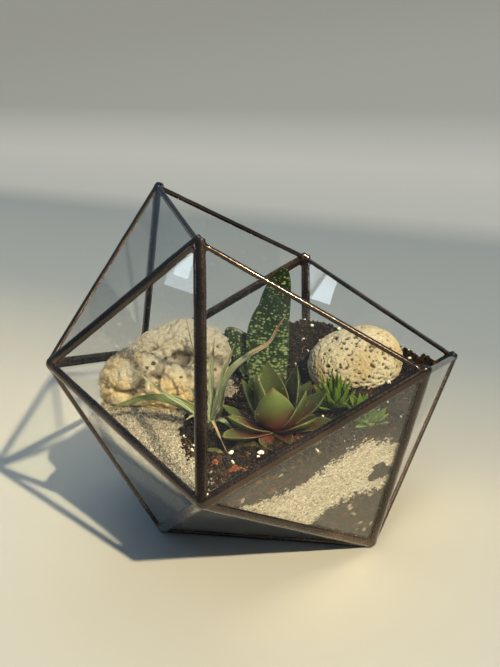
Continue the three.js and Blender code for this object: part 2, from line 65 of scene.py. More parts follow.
CAMERA_PLACE = Vector((-98.6, -477.8, 304.15)) * MM
CAMERA_RIGHT = Vector((0.9654, -0.2353, -0.1127))
CAMERA_UP = Vector((0.1906, 0.341, 0.9205))
CAMERA_AHEAD = Vector((0.1782, 0.9101, -0.374))
lens = bpy.data.cameras.new("camera")
lens.lens = 53.16
lens.sensor_width = 36
camera = in_scene("camera", lens)
turn = Matrix((CAMERA_RIGHT, CAMERA_UP, -CAMERA_AHEAD)).transposed()
camera.matrix_world = Matrix.Translation(CAMERA_PLACE) @ turn.to_4x4()
bpy.context.scene.camera = camera
print("camera at", [round(v, 3) for v in camera.location])

# %% [markdown]
# ## Helpers for node trees
# Materials and Geometry Nodes are both trees of nodes. One function adds a node, sets its
# properties and fills its sockets, either with a value or with a link from another node.

# %% One function for every node
def linear(code):
    """An sRGB hex colour, as a paint chart gives it, in the linear light that shaders use."""
    parts = [int(code[k:k + 2], 16) / 255 for k in (1, 3, 5)]
    return (*[p / 12.92 if p <= 0.04045 else ((p + 0.055) / 1.055) ** 2.4 for p in parts], 1)


def add(tree, kind, sockets=None, stops=None, **settings):
    """Adds a node. sockets gives each input a value or a link; stops fills a colour ramp."""
    made = tree.nodes.new(kind)
    for name, value in settings.items():
        setattr(made, name, value)
    for key, value in (sockets or {}).items():
        if isinstance(value, bpy.types.Node):
            value = value.outputs[0]
        if isinstance(value, bpy.types.NodeSocket):
            tree.links.new(value, made.inputs[key])
        else:
            is_colour = isinstance(value, str) and value.startswith("#")
            made.inputs[key].default_value = linear(value) if is_colour else value
    if stops:
        ramp = made.color_ramp.elements
        ramp.remove(ramp[-1])
        ramp[0].position, ramp[0].color = stops[0][0], linear(stops[0][1])
        for place, colour in stops[1:]:
            ramp.new(place).color = linear(colour)
    return made


def new_material(name):
    """An empty material: its tree and the output that its surface goes to."""
    made = bpy.data.materials.new(name)
    made.use_nodes = True
    made.node_tree.nodes.clear()
    output = add(made.node_tree, "ShaderNodeOutputMaterial")
    return made, made.node_tree, output


# %% [markdown]
# ## Helpers for shapes
# Stones, soil and leaves need lumps that are never alike and yet come out the same on each run.
# The noise below gives each point of a lattice a fixed random number and blends between them.

# %% Noise and meshes
def lumps(points, pitch, seed=0):
    """Smooth noise from -1 to 1 at each point, with lumps about one pitch across."""
    place = np.asarray(points, float) / pitch
    cell = np.floor(place).astype(np.int64)
    part = place - cell
    part = part * part * (3 - 2 * part)
    total = np.zeros(len(place))
    for step in itertools.product((0, 1), repeat=3):
        near = cell + step
        code = near[:, 0] * 73856093 ^ near[:, 1] * 19349663 ^ near[:, 2] * 83492791 ^ seed * 40503
        code = ((code ^ (code >> 13)) * 1274126177) & 0xFFFFFFFF
        value = ((code ^ (code >> 16)) & 0xFFFF) / 32767.5 - 1
        total += value * np.prod(np.where(step, part, 1 - part), axis=1)
    return total


def relief(points, layers):
    """Lumps of several sizes laid over each other. A layer is its height, pitch and seed."""
    return sum(height * lumps(points, pitch, seed) for height, pitch, seed in layers)


def piece(name, points, faces, material=None, smooth=True):
    """A mesh object from points in millimetres, with its place in its mesh."""
    mesh = bpy.data.meshes.new(name)
    mesh.from_pydata((np.asarray(points, float) * MM).tolist(), [], faces)
    if smooth:
        mesh.shade_smooth()
    if material:
        mesh.materials.append(material)
    return in_scene(name, mesh)


def points_of(thing):
    """The piece's points in millimetres."""
    flat = np.empty(len(thing.data.vertices) * 3, np.float32)
    thing.data.vertices.foreach_get("co", flat)
    return flat.reshape(-1, 3).astype(float) / MM


def normals_of(thing):
    """Which way the surface faces at each of the piece's points."""
    flat = np.empty(len(thing.data.vertices) * 3, np.float32)
    thing.data.vertices.foreach_get("normal", flat)
    return flat.reshape(-1, 3).astype(float)


def move_points(thing, points):
    """Puts the piece's points at new places, given in millimetres."""
    thing.data.vertices.foreach_set("co", (points * MM).astype(np.float32).ravel())
    thing.data.update()


def note(thing, name, values):
    """Stores a number at each point, for a material or a node tree to read."""
    data = thing.data.attributes.get(name)
    data = data or thing.data.attributes.new(name, "FLOAT", "POINT")
    data.data.foreach_set("value", np.asarray(values, np.float32))


def settled(thing):
    """The piece with its modifiers worked into a plain mesh."""
    depsgraph = bpy.context.evaluated_depsgraph_get()
    mesh = bpy.data.meshes.new_from_object(thing.evaluated_get(depsgraph))
    old = thing.data
    thing.modifiers.clear()
    thing.data = mesh
    mesh.name = thing.name
    if old.users == 0:
        bpy.data.meshes.remove(old)
    return thing


def remeshed(thing, size, smoothing=0):
    """One closed skin of small even quads over everything in the piece."""
    change = thing.modifiers.new("skin", "REMESH")
    change.mode = "VOXEL"
    change.voxel_size = size * MM
    if smoothing:
        ease = thing.modifiers.new("ease", "SMOOTH")
        ease.iterations = smoothing
    settled(thing)
    thing.data.shade_smooth()
    return thing


def merged_copy(name, node):
    """A CAD node's own shape as a new piece, its loose triangles joined."""
    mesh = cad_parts[node].data.copy()
    build = bmesh.new()
    build.from_mesh(mesh)
    bmesh.ops.remove_doubles(build, verts=build.verts, dist=1e-6)
    build.to_mesh(mesh)
    build.free()
    mesh.materials.clear()
    return in_scene(name, mesh)


def report(thing):
    """Prints what a piece came out as."""
    low, high = points_of(thing).min(0), points_of(thing).max(0)
    count = sum(len(p.vertices) - 2 for p in thing.data.polygons)
    print(f"{thing.name}: {count} triangles, {low.round(1)} to {high.round(1)} mm")


def dressed(thing, material, slot, *nodes):
    """Gives a finished piece its material and its body, and hides the nodes it stands for. The
    slot is not used.
    """
    thing.data.materials.clear()
    thing.data.materials.append(material)
    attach(thing, "root")
    if nodes:
        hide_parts(*nodes)
    report(thing)


# %% [markdown]
# ## The icosahedron
# Every corner follows from the 120 mm edge and the golden ratio. The corners lie on four levels:
# three on the ground, three on the wide ring above it, three on the next, and three on the top,
# of which only a and b are left once the open corner n is taken away.

# %% Corners and panes
EDGE = 120
GLASS = 2
FOOT = 0.95  # the solder under the lowest edges lifts the glass by this much
PHI = (1 + math.sqrt(5)) / 2
RING = EDGE / math.sqrt(3)
LEVELS = [FOOT, RING + FOOT, PHI * RING + FOOT, PHI * PHI * RING + FOOT]
IN_RADIUS = EDGE * PHI * PHI / (2 * math.sqrt(3))
CENTRE = np.array([0, 0, IN_RADIUS + FOOT])


def corner(radius, azimuth, level):
    """A corner from its distance to the middle line, its heading and its level."""
    turned = math.radians(azimuth)
    return np.array([radius * math.cos(turned), radius * math.sin(turned), LEVELS[level]])


CORNERS = {
    "a": corner(RING, 120, 3), "b": corner(RING, -120, 3), "n": corner(RING, 0, 3),
    "c": corner(PHI * RING, 180, 2), "e": corner(PHI * RING, -60, 2),
    "g": corner(PHI * RING, 60, 2), "d": corner(PHI * RING, -120, 1),
    "f": corner(PHI * RING, 0, 1), "k": corner(PHI * RING, 120, 1),
    "h": corner(RING, -60, 0), "i": corner(RING, 180, 0), "l": corner(RING, 60, 0),
}
PANES = "abc bcd bde deh efh fhl fgl gkl agk ack cdi cik dhi ikl hil".split()


def unit(vector):
    """The same direction with a length of 1."""
    return vector / np.linalg.norm(vector)


def face_normal(face):
    """The direction that a pane faces, away from the middle of the case."""
    p, q, r = (CORNERS[name] for name in face)
    normal = unit(np.cross(q - p, r - p))
    return normal if normal @ (p - CENTRE) > 0 else -normal


edges = {}
for face in PANES:
    for pair in itertools.combinations(face, 2):
        edges.setdefault("".join(pair), []).append(face)
print(len(PANES), "panes,", len(edges), "edges,",
      sum(len(on) == 1 for on in edges.values()), "of them on the open rim")

# %% [markdown]
# ## Glass
# Plain 2 mm float glass, cut by hand and never quite clean: a planted case breathes out moisture,
# and dust from the dry sand clings to it, most of all below the soil. The panes of the CAD model
# are already right in shape, so they only get a material. Lamps would leave the inside dark, as
# Cycles doesn't follow their light through glass, so shadow rays meet a clear film instead.

# %% Float glass with a film of dust
def float_glass():
    """Clear glass under a film of dust, thickest below the soil."""
    made, tree, output = new_material("float_glass_with_dust")
    place = add(tree, "ShaderNodeTexCoord").outputs["Object"]
    height = add(tree, "ShaderNodeSeparateXYZ", {0: place}).outputs["Z"]
    # smears some 30 mm long, and specks of 2 mm
    smears = add(tree, "ShaderNodeTexNoise", {"Vector": place, "Scale": 30, "Detail": 5,
                                              "Roughness": 0.62, "Distortion": 1.2})
    specks = add(tree, "ShaderNodeTexNoise", {"Vector": place, "Scale": 420, "Detail": 2})
    buried = add(tree, "ShaderNodeMapRange", {"Value": height, "From Min": 0.084,
                                              "From Max": 0.07, "To Min": 0.0, "To Max": 0.022})
    smear = add(tree, "ShaderNodeMapRange", {"Value": smears, "From Min": 0.42,
                                             "From Max": 0.72, "To Min": 0.0, "To Max": 0.014})
    speck = add(tree, "ShaderNodeMapRange", {"Value": specks, "From Min": 0.62,
                                             "From Max": 0.72, "To Min": 0.0, "To Max": 0.03})
    film = add(tree, "ShaderNodeMath", {0: buried, 1: smear}, operation="ADD")
    film = add(tree, "ShaderNodeMath", {0: film, 1: speck}, operation="ADD", use_clamp=True)
    pane = add(tree, "ShaderNodeBsdfPrincipled", {
        "Base Color": "#fcfdfd", "Roughness": 0.0, "IOR": 1.5, "Transmission Weight": 1.0})
    dust = add(tree, "ShaderNodeBsdfDiffuse", {"Color": "#b9b8ae"})
    body = add(tree, "ShaderNodeMixShader", {0: film, 1: pane, 2: dust})
    clear = add(tree, "ShaderNodeBsdfTransparent", {"Color": "#fafbfa"})
    shadow = add(tree, "ShaderNodeLightPath").outputs["Is Shadow Ray"]
    whole = add(tree, "ShaderNodeMixShader", {0: shadow, 1: body, 2: clear})
    tree.links.new(whole.outputs[0], output.inputs["Surface"])
    return made


FLOAT_GLASS = float_glass()
for face in PANES:
    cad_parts["pane_" + face].material_slots[0].material = FLOAT_GLASS
print("glass on", len(PANES), "panes")

# %% [markdown]
# ## Soldered frame
# Each pane is edged in copper foil, and solder is run along both sides of every joint, so the
# metal stands over the glass as a rounded bar. Where bars meet, the solder flows into one knob,
# and a dark patina is brushed on at the end. A Geometry Nodes tree sweeps an oval along each edge
# and sets a knob on each corner. A voxel skin then melts them into one casting.

# %% The lines that the bars follow
BAR_RISE = 0.95  # top of a bar over the edge of the glass
BAR_DEEP = 2.05  # half its height
BAR_WIDE = 3.05  # half its width
RIM_MIDDLE = 1.6  # middle of a rim bar, in from the edge line
RIM_DEEP = 1.5  # half the height of a rim bar
RIM_WIDE = 1.35  # half its width
KNOB = 1.8  # radius of a corner's knob
KNOB_DEPTH = 1.7  # its middle, in from the corner

line_points, line_faces, line_up, line_rim = [], [], [], []
for pair, on in edges.items():
    start, end = CORNERS[pair[0]], CORNERS[pair[1]]
    out = unit(sum(face_normal(face) for face in on))
    shift = out * (BAR_RISE - BAR_DEEP)
    if len(on) == 1:
        third = CORNERS[next(name for name in on[0] if name not in pair)]
        shift = unit(third - (start + end) / 2) * RIM_MIDDLE - out * GLASS / 2
    line_faces.append((len(line_points), len(line_points) + 1))
    line_points += [start + shift, end + shift]
    line_up += [out, out]
    line_rim += [len(on) == 1] * 2
knobs = [place + unit(CENTRE - place) * KNOB_DEPTH
         for name, place in CORNERS.items() if name != "n"]


def skeleton():
    """The edges as lines, then the corners as loose points, with what the sweep needs to know."""
    mesh = bpy.data.meshes.new("solder_frame")
    places = np.array(line_points + knobs) * MM
    mesh.from_pydata(places.tolist(), line_faces, [])
    made = in_scene("solder_frame", mesh)
    loose = len(knobs)
    note(made, "rim", line_rim + [False] * loose)
    note(made, "knob", [False] * len(line_points) + [True] * loose)
    out = mesh.attributes.new("out", "FLOAT_VECTOR", "POINT")
    out.data.foreach_set("vector", np.array(line_up + [(0, 0, 1)] * loose, np.float32).ravel())
    return made


# %% Making and running a Geometry Nodes tree
def node_tree(name, inputs):
    """A Geometry Nodes tree with named inputs. Returns it, its input node and its output node."""
    tree = bpy.data.node_groups.new(name, "GeometryNodeTree")
    tree.interface.new_socket("Geometry", in_out="INPUT", socket_type="NodeSocketGeometry")
    for label, kind, value in inputs:
        socket = tree.interface.new_socket(label, in_out="INPUT", socket_type=kind)
        if value is not None:
            socket.default_value = value
    tree.interface.new_socket("Geometry", in_out="OUTPUT", socket_type="NodeSocketGeometry")
    return tree, add(tree, "NodeGroupInput"), add(tree, "NodeGroupOutput")


def run_tree(thing, tree, values):
    """Runs a tree on a piece with values for its named inputs, and keeps the plain mesh."""
    change = thing.modifiers.new(tree.name, "NODES")
    change.node_group = tree
    for item in tree.interface.items_tree:
        if item.in_out == "INPUT" and item.name in values:
            change[item.identifier] = values[item.name]
    return settled(thing)


# %% The tree that sweeps the bars
def bar_tree():
    """Sweeps an oval along each edge line and sets a ball on each loose point."""
    tree, given, result = node_tree("soldered_bars", [
        ("Half Width", "NodeSocketFloat", BAR_WIDE * MM),
        ("Half Height", "NodeSocketFloat", BAR_DEEP * MM),
        ("Rim Half Width", "NodeSocketFloat", RIM_WIDE * MM),
        ("Rim Half Height", "NodeSocketFloat", RIM_DEEP * MM),
        ("Knob Radius", "NodeSocketFloat", KNOB * MM),
        ("Material", "NodeSocketMaterial", None),
    ])
    rim = add(tree, "GeometryNodeInputNamedAttribute", {"Name": "rim"}, data_type="FLOAT")
    knob = add(tree, "GeometryNodeInputNamedAttribute", {"Name": "knob"}, data_type="FLOAT")
    out = add(tree, "GeometryNodeInputNamedAttribute", {"Name": "out"},
              data_type="FLOAT_VECTOR")
    parts = []
    kinds = (("Half Width", "Half Height", "LESS_THAN"),
             ("Rim Half Width", "Rim Half Height", "GREATER_THAN"))
    for wide, deep, wanted in kinds:
        chosen = add(tree, "FunctionNodeCompare", {0: rim, 1: 0.5}, operation=wanted)
        lines = add(tree, "GeometryNodeMeshToCurve", {0: given, "Selection": chosen})
        fine = add(tree, "GeometryNodeResampleCurve", {0: lines, "Length": 3 * MM},
                   mode="LENGTH")
        upright = add(tree, "GeometryNodeSetCurveNormal", {0: fine, "Normal": out}, mode="FREE")
        circle = add(tree, "GeometryNodeCurvePrimitiveCircle", {"Resolution": 20, "Radius": 1.0})
        scale = add(tree, "ShaderNodeCombineXYZ", {0: given.outputs[deep],
                                                   1: given.outputs[wide], 2: 1.0})
        oval = add(tree, "GeometryNodeTransform", {0: circle, "Scale": scale})
        parts.append(add(tree, "GeometryNodeCurveToMesh", {0: upright, 1: oval,
                                                           "Fill Caps": True}))
    is_knob = add(tree, "FunctionNodeCompare", {0: knob, 1: 0.5}, operation="GREATER_THAN")
    points = add(tree, "GeometryNodeMeshToPoints", {0: given, "Selection": is_knob})
    ball = add(tree, "GeometryNodeMeshIcoSphere", {"Radius": given.outputs["Knob Radius"],
                                                   "Subdivisions": 4})
    set_on = add(tree, "GeometryNodeInstanceOnPoints", {"Points": points, "Instance": ball})
    parts.append(add(tree, "GeometryNodeRealizeInstances", {0: set_on}))
    joined = add(tree, "GeometryNodeJoinGeometry")
    for part in parts:
        tree.links.new(part.outputs[0], joined.inputs[0])
    painted = add(tree, "GeometryNodeSetMaterial", {0: joined,
                                                    "Material": given.outputs["Material"]})
    tree.links.new(painted.outputs[0], result.inputs[0])
    return tree


# %% [markdown]
# ## Patina
# The solder is a bright tin and lead alloy until a copper-brown patina is wiped over it. The
# patina is a thin crust, so the shader is nearly all dark metal with a little matt brown in it.
# Wax is rubbed on at the end, and that clear coat gives the crisp pale glints along the bars.

# %% Solder with a brushed brown patina
def patina_solder():
    """Dark waxed metal, browner in broad blotches and finely brushed."""
    made, tree, output = new_material("solder_with_brown_patina")
    place = add(tree, "ShaderNodeTexCoord").outputs["Object"]
    # blotches of 25 mm, brush marks of 1 mm
    blotches = add(tree, "ShaderNodeTexNoise", {"Vector": place, "Scale": 40, "Detail": 1.5,
                                                "Roughness": 0.5})
    marks = add(tree, "ShaderNodeTexNoise", {"Vector": place, "Scale": 900, "Detail": 3})
    blend = add(tree, "ShaderNodeMath", {0: marks, 1: 0.08, 2: blotches},
                operation="MULTIPLY_ADD")
    colour = add(tree, "ShaderNodeValToRGB", {0: blend}, stops=[
        (0.35, "#362e2a"), (0.55, "#443932"), (0.7, "#54453c"), (0.85, "#6b584c")])
    rough = add(tree, "ShaderNodeMapRange", {"Value": marks, "From Min": 0.3, "From Max": 0.7,
                                             "To Min": 0.22, "To Max": 0.34})
    bump = add(tree, "ShaderNodeBump", {"Height": marks, "Distance": 0.01 * MM,
                                        "Strength": 0.15})
    metal = add(tree, "ShaderNodeBsdfPrincipled", {
        "Base Color": colour, "Metallic": 0.9, "Roughness": rough, "Normal": bump,
        "Coat Weight": 0.6, "Coat Roughness": 0.07})
    tree.links.new(metal.outputs[0], output.inputs["Surface"])
    return made


# %% Melt the bars into one frame
FRAME_SKIN = 0.84  # size of the skin's quads
CORNER_REACH = (5, 11)  # from a corner, where its own form ends and where the plain bar begins
NEAR_OVAL = 1.4  # a point this many times as far out as the oval belongs to no bar
UNEVEN = (0.09, 10, 1)  # height, pitch and seed of the lumps that a soldering iron leaves
FLAT_FOOT = 0.02  # the lowest bars stand flat, this far over the table


def trued(places):
    """Points drawn onto the exact oval of their bar, away from the corners: no voxel shows."""
    moved = places.copy()
    nearest = np.full(len(places), NEAR_OVAL)
    for first, last in line_faces:
        start, end = np.array(line_points[first]), np.array(line_points[last])
        along, out = unit(end - start), line_up[first]
        side = unit(np.cross(along, out))
        wide, deep = (RIM_WIDE, RIM_DEEP) if line_rim[first] else (BAR_WIDE, BAR_DEEP)
        t = (places - start) @ along
        u, h = (places - start) @ side, (places - start) @ out
        share = np.hypot(u / wide, h / deep)
        to_end = np.minimum(t, np.linalg.norm(end - start) - t)
        weight = np.clip((to_end - CORNER_REACH[0]) / (CORNER_REACH[1] - CORNER_REACH[0]), 0, 1)
        own = (share < nearest) & (weight > 0)
        nearest[own] = share[own]
        pull = (weight * (1 / share - 1))[:, None]
        moved[own] = (places + pull * (u[:, None] * side + h[:, None] * out))[own]
    return moved


PATINA = patina_solder()
solder = run_tree(skeleton(), bar_tree(), {"Material": PATINA})
remeshed(solder, FRAME_SKIN, smoothing=4)
places = trued(points_of(solder))
move_points(solder, places)
places += normals_of(solder) * relief(places, [UNEVEN])[:, None]
places[:, 2] = np.maximum(places[:, 2], FLAT_FOOT)
move_points(solder, places)
dressed(solder, PATINA, "solder", *[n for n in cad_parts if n[:4] in ("seam", "rim_")])

# %% [markdown]
# ## The ground in the case
# Potting soil fills the bottom, a band of white sand is poured over it, more soil goes on top and
# sand is strewn round the rock. Three gently swollen surfaces bound the layers, each a level with
# a few round mounds. The body is the room inside the glass cut off by the highest surface. It is
# one skin, because the layers only differ in colour, and at their edges the grains mix. Each
# point keeps how deep it lies in sand, in millimetres, and the material turns that into a ragged
# border.

# %% The layers' surfaces
SURFACE_LEVEL = 72
SAND_FLOOR = 42  # the buried band lies between these two levels
SAND_TOP = 59
BEACH_DEPTH = 4  # of the sand strewn round the rock
# Each mound: its middle, its rise and its radius.
SURFACE_MOUNDS = [(46, -92, 13, 32), (0, -86, 3, 26), (-92, 0, 7, 38), (-50, 84, 6, 36),
                  (44, 66, 4, 26), (104, 0, -6, 30)]
SAND_FLOOR_MOUNDS = [(-6, -80, -11, 14), (36, -76, 2.5, 24), (-84, -30, 3, 40)]
SAND_TOP_MOUNDS = [(28, -88, 19, 25), (-84, -30, 3, 30)]
# Dark soil has slid into the band: the middle and the reach of each part of that bay.
SOIL_BAYS = [(34, -77, 58.5, 3.8), (38, -76, 55, 4.4), (31, -76, 53.5, 3)]
BAY_DEPTH = 22  # more than the band is thick
# The edge of the strewn sand, and two corners that close it outside the case.
SHORE = [(-49, -66), (-52, -38), (-40, -8), (-16, 8), (-16, 44), (-42, 66), (-130, 80)]
SHORE_END = [(-140, -110), (-48, -110)]


def swollen(level, mounds, x, y):
    """The height at each place of a level with round mounds on it."""
    height = np.full(np.shape(x), float(level))
    for mound_x, mound_y, rise, radius in mounds:
        height += rise * np.exp(-((x - mound_x) ** 2 + (y - mound_y) ** 2) / radius ** 2)
    return height


def surface_at(x, y):
    """The height of the ground's open surface."""
    return swollen(SURFACE_LEVEL, SURFACE_MOUNDS, np.asarray(x, float), np.asarray(y, float))


def catmull(points, count):
    """Evenly numbered points on a smooth curve through the given ones."""
    given = np.asarray(points, float)
    given = np.vstack([2 * given[0] - given[1], given, 2 * given[-1] - given[-2]])
    spans = len(given) - 3
    place = np.linspace(0, spans, count)
    k = np.minimum(place.astype(int), spans - 1)
    t = (place - k)[:, None]
    p0, p1, p2, p3 = given[k], given[k + 1], given[k + 2], given[k + 3]
    return 0.5 * (2 * p1 + (p2 - p0) * t + (2 * p0 - 5 * p1 + 4 * p2 - p3) * t ** 2
                  + (3 * p1 - p0 - 3 * p2 + p3) * t ** 3)


def shore_distance(x, y):
    """How far each point lies inside the strewn sand; it is negative outside."""
    line = np.vstack([catmull(SHORE, 60), SHORE_END])
    ahead = np.roll(line, -1, axis=0)
    best = np.full(len(x), 1e9)
    inside = np.zeros(len(x), bool)
    for (x0, y0), (x1, y1) in zip(line, ahead):
        run = (x1 - x0) ** 2 + (y1 - y0) ** 2 or 1
        t = np.clip(((x - x0) * (x1 - x0) + (y - y0) * (y1 - y0)) / run, 0, 1)
        best = np.minimum(best, np.hypot(x - x0 - t * (x1 - x0), y - y0 - t * (y1 - y0)))
        crossed = (y0 > y) != (y1 > y)
        with np.errstate(divide="ignore", invalid="ignore"):
            inside ^= crossed & (x < (x1 - x0) * (y - y0) / (y1 - y0) + x0)
    return np.where(inside, best, -best)


# %% The body of soil and sand
WALL_CLEAR = 0.45  # between the body and the glass
GROUND_SKIN = 1.15  # size of the skin's quads


def room():
    """The icosahedron inside the glass, a smaller one about the same centre."""
    scale = (IN_RADIUS - GLASS - WALL_CLEAR) / IN_RADIUS
    build = bmesh.new()
    for place in CORNERS.values():
        build.verts.new((CENTRE + (place - CENTRE) * scale) * MM)
    bmesh.ops.convex_hull(build, input=build.verts)
    mesh = bpy.data.meshes.new("room")
    build.to_mesh(mesh)
    build.free()
    return in_scene("room", mesh)


def ground_block(pitch=3.0, reach=120, underside=-20.0):
    """A block with the highest surface as its top, wider and deeper than the case."""
    ticks = np.arange(-reach, reach + pitch, pitch)
    x, y = (axis.ravel() for axis in np.meshgrid(ticks, ticks))
    n = len(ticks)
    top = np.column_stack([x, y, surface_at(x, y)])
    base = np.column_stack([x, y, np.full(len(x), underside)])
    cells = [(r * n + c, r * n + c + 1, (r + 1) * n + c + 1, (r + 1) * n + c)
             for r in range(n - 1) for c in range(n - 1)]
    faces = cells + [tuple(k + n * n for k in reversed(cell)) for cell in cells]
    ring = ([*range(n)] + [r * n + n - 1 for r in range(1, n)]
            + [n * n - 1 - c for c in range(1, n)] + [r * n for r in range(n - 2, 0, -1)])
    for here, there in zip(ring, ring[1:] + ring[:1]):
        faces.append((there, here, here + n * n, there + n * n))
    return piece("potting_ground", np.vstack([top, base]), faces)


block = ground_block()
bounds_of_case = room()
cut = block.modifiers.new("inside the glass", "BOOLEAN")
cut.operation = "INTERSECT"
cut.solver = "MANIFOLD"
cut.object = bounds_of_case
settled(block)
bpy.data.objects.remove(bounds_of_case)
ground = remeshed(block, GROUND_SKIN)

# %% Crumbs on top, small hollows against the glass, and the depth in sand
SAND_RELIEF = [(0.5, 14, 6), (0.3, 1.9, 7)]  # each layer's height, pitch and seed
SOIL_RELIEF = [(1.3, 11, 8), (1.0, 4.5, 9), (0.7, 2.3, 10)]
PANE_CLEAR = 0.2  # the least gap to the pane that the case lies on

places, normals = points_of(ground), normals_of(ground)
x, y, z = places.T
# 1 where the skin is open ground, 0 where it lies against a pane
on_top = np.clip((z - surface_at(x, y) + 1.6) / 1.0, 0, 1) * np.clip(normals[:, 2] * 3, 0, 1)
shore = shore_distance(x, y) + 3.5 * lumps(places, 9, 3) + 2 * lumps(places, 3, 4)
floor_of_band = swollen(SAND_FLOOR, SAND_FLOOR_MOUNDS, x, y)
top_of_band = swollen(SAND_TOP, SAND_TOP_MOUNDS, x, y)
# how deep each point lies in the strewn sand and in the band, with ragged edges
strewn = np.minimum(shore, z - (surface_at(x, y) - BEACH_DEPTH) + 1.2 * lumps(places, 6, 5))
band = np.minimum(z - floor_of_band, top_of_band - z) + 1.6 * lumps(places, 7, 12)
for *middle, reach in SOIL_BAYS:
    near = np.exp(-((places - middle) ** 2).sum(1) / reach ** 2)
    band -= BAY_DEPTH * near * (1 + 0.7 * lumps(places, 2.6, 13))
sand_depth = np.maximum(strewn, band)
soil_rise = relief(places, SOIL_RELIEF) + 0.4
rise = np.where(sand_depth > 0, relief(places, SAND_RELIEF), soil_rise)
hollow = 0.25 + 0.25 * lumps(places, 2.5, 11)
places = places + normals * (on_top * rise - (1 - on_top) * hollow)[:, None]
places[:, 2] = np.maximum(places[:, 2], FOOT + GLASS + PANE_CLEAR)
move_points(ground, places)
note(ground, "sand_depth", sand_depth)
note(ground, "on_top", on_top)
print("ground:", round(float((on_top > 0.5).mean()), 2), "of its points lie on the surface")

# %% [markdown]
# ## Soil and sand as materials
# Potting soil is dark, moist peat in crumbs of about 2 mm, with reddish bark and white perlite
# in it. The sand is washed quartz in grains just under 1 mm, each in its own shade from brown to
# pale grey. Both are drawn with Voronoi cells, one cell to a grain, and a cell's random colour
# picks its shade.

# %% The ground's material
def crumbs_and_grains():
    """Soil where the ground's sand depth is below zero, and sand where it is above."""
    made, tree, output = new_material("moist_soil_and_quartz_sand")
    place = add(tree, "ShaderNodeTexCoord").outputs["Object"]
    grains = add(tree, "ShaderNodeTexVoronoi", {"Vector": place, "Scale": 1250})
    crumbs = add(tree, "ShaderNodeTexVoronoi", {"Vector": place, "Scale": 480})
    clods = add(tree, "ShaderNodeTexNoise", {"Vector": place, "Scale": 110, "Detail": 5})
    grain_tone = add(tree, "ShaderNodeSeparateColor", {0: grains.outputs["Color"]})
    sand = add(tree, "ShaderNodeValToRGB", {0: grain_tone}, stops=[
        (0.0, "#4a443c"), (0.05, "#827a6d"), (0.3, "#9c9486"), (0.6, "#aba498"),
        (0.9, "#bdb8ae"), (1.0, "#d0ccc4")])
    # sand on the open surface is darker than sand that lies against the glass
    on_top = add(tree, "ShaderNodeAttribute", attribute_name="on_top").outputs["Fac"]
    darker_on_top = add(tree, "ShaderNodeMapRange", {"Value": on_top, "To Min": 0.95, "To Max": 0.62})
    sand = add(tree, "ShaderNodeMix", {0: 1.0, 6: sand.outputs[0], 7: darker_on_top},
               data_type="RGBA", blend_type="MULTIPLY")
    crumb_tone = add(tree, "ShaderNodeSeparateColor", {0: crumbs.outputs["Color"]})
    soil = add(tree, "ShaderNodeValToRGB", {0: crumb_tone}, stops=[
        (0.0, "#080503"), (0.35, "#100b07"), (0.65, "#1f150d"), (0.84, "#34241a"),
        (0.92, "#563622"), (0.935, "#170f0a"), (0.97, "#241910"), (0.985, "#8d8471")])
    shade = add(tree, "ShaderNodeMapRange", {"Value": clods, "From Min": 0.3, "From Max": 0.7,
                                             "To Min": 0.55, "To Max": 1.25})
    soil = add(tree, "ShaderNodeMix", {0: 1.0, 6: soil.outputs[0], 7: shade},
               data_type="RGBA", blend_type="MULTIPLY")
    # the border wanders by 3 to 4 mm, and grains of each lie up to 2 mm inside the other
    depth = add(tree, "ShaderNodeAttribute", attribute_name="sand_depth").outputs["Fac"]
    coarse = add(tree, "ShaderNodeTexNoise", {"Vector": place, "Scale": 190, "Detail": 4,
                                              "Roughness": 0.75})
    wander = add(tree, "ShaderNodeMath", {0: coarse, 1: 18.0, 2: -9.0},
                 operation="MULTIPLY_ADD")
    depth = add(tree, "ShaderNodeMath", {0: depth, 1: wander}, operation="ADD")
    mixed = add(tree, "ShaderNodeMath", {0: grain_tone.outputs[1], 1: 4.0, 2: -2.0},
                operation="MULTIPLY_ADD")
    depth = add(tree, "ShaderNodeMath", {0: depth, 1: mixed}, operation="ADD")
    is_sand = add(tree, "ShaderNodeMapRange", {"Value": depth, "From Min": -0.15,
                                               "From Max": 0.15})
    colour = add(tree, "ShaderNodeMix", {0: is_sand, 6: soil.outputs[2], 7: sand.outputs[2]},
                 data_type="RGBA")
    height = add(tree, "ShaderNodeMix", {0: is_sand, 2: crumbs.outputs["Distance"],
                                         3: grains.outputs["Distance"]})
    bump = add(tree, "ShaderNodeBump", {"Height": height, "Distance": 0.5 * MM,
                                        "Strength": 1.0}, invert=True)
    rough = add(tree, "ShaderNodeMapRange", {"Value": is_sand, "To Min": 0.95, "To Max": 0.7})
    earth = add(tree, "ShaderNodeBsdfPrincipled", {
        "Base Color": colour.outputs[2], "Roughness": rough, "Specular IOR Level": 0.2,
        "Normal": bump})
    tree.links.new(earth.outputs[0], output.inputs["Surface"])
    return made


GROUND = crumbs_and_grains()
dressed(ground, GROUND, "soil", "bottom_soil", "sand_band", "top_soil", "strewn_sand")

# %% [markdown]
# ## Rock and pumice
# Both stones start from their CAD solids, skinned with small quads so that there is something to
# carve. The rock is a weathered limestone: broad folds, a shelf or two and scattered solution
# holes. The pumice is tumbled volcanic foam, an even egg riddled with gas bubbles. Each point
# keeps how deep it was sunk, and the material darkens there as painted shade in the holes, and on
# the rock in its cracks and folds too.

# %% Carving
def freedom(places, margin):
    """The share of its carving that a stone gets: all in the open, little in the ground."""
    level = surface_at(places[:, 0], places[:, 1])
    return np.where(places[:, 2] < level + margin, 0.2, 1)


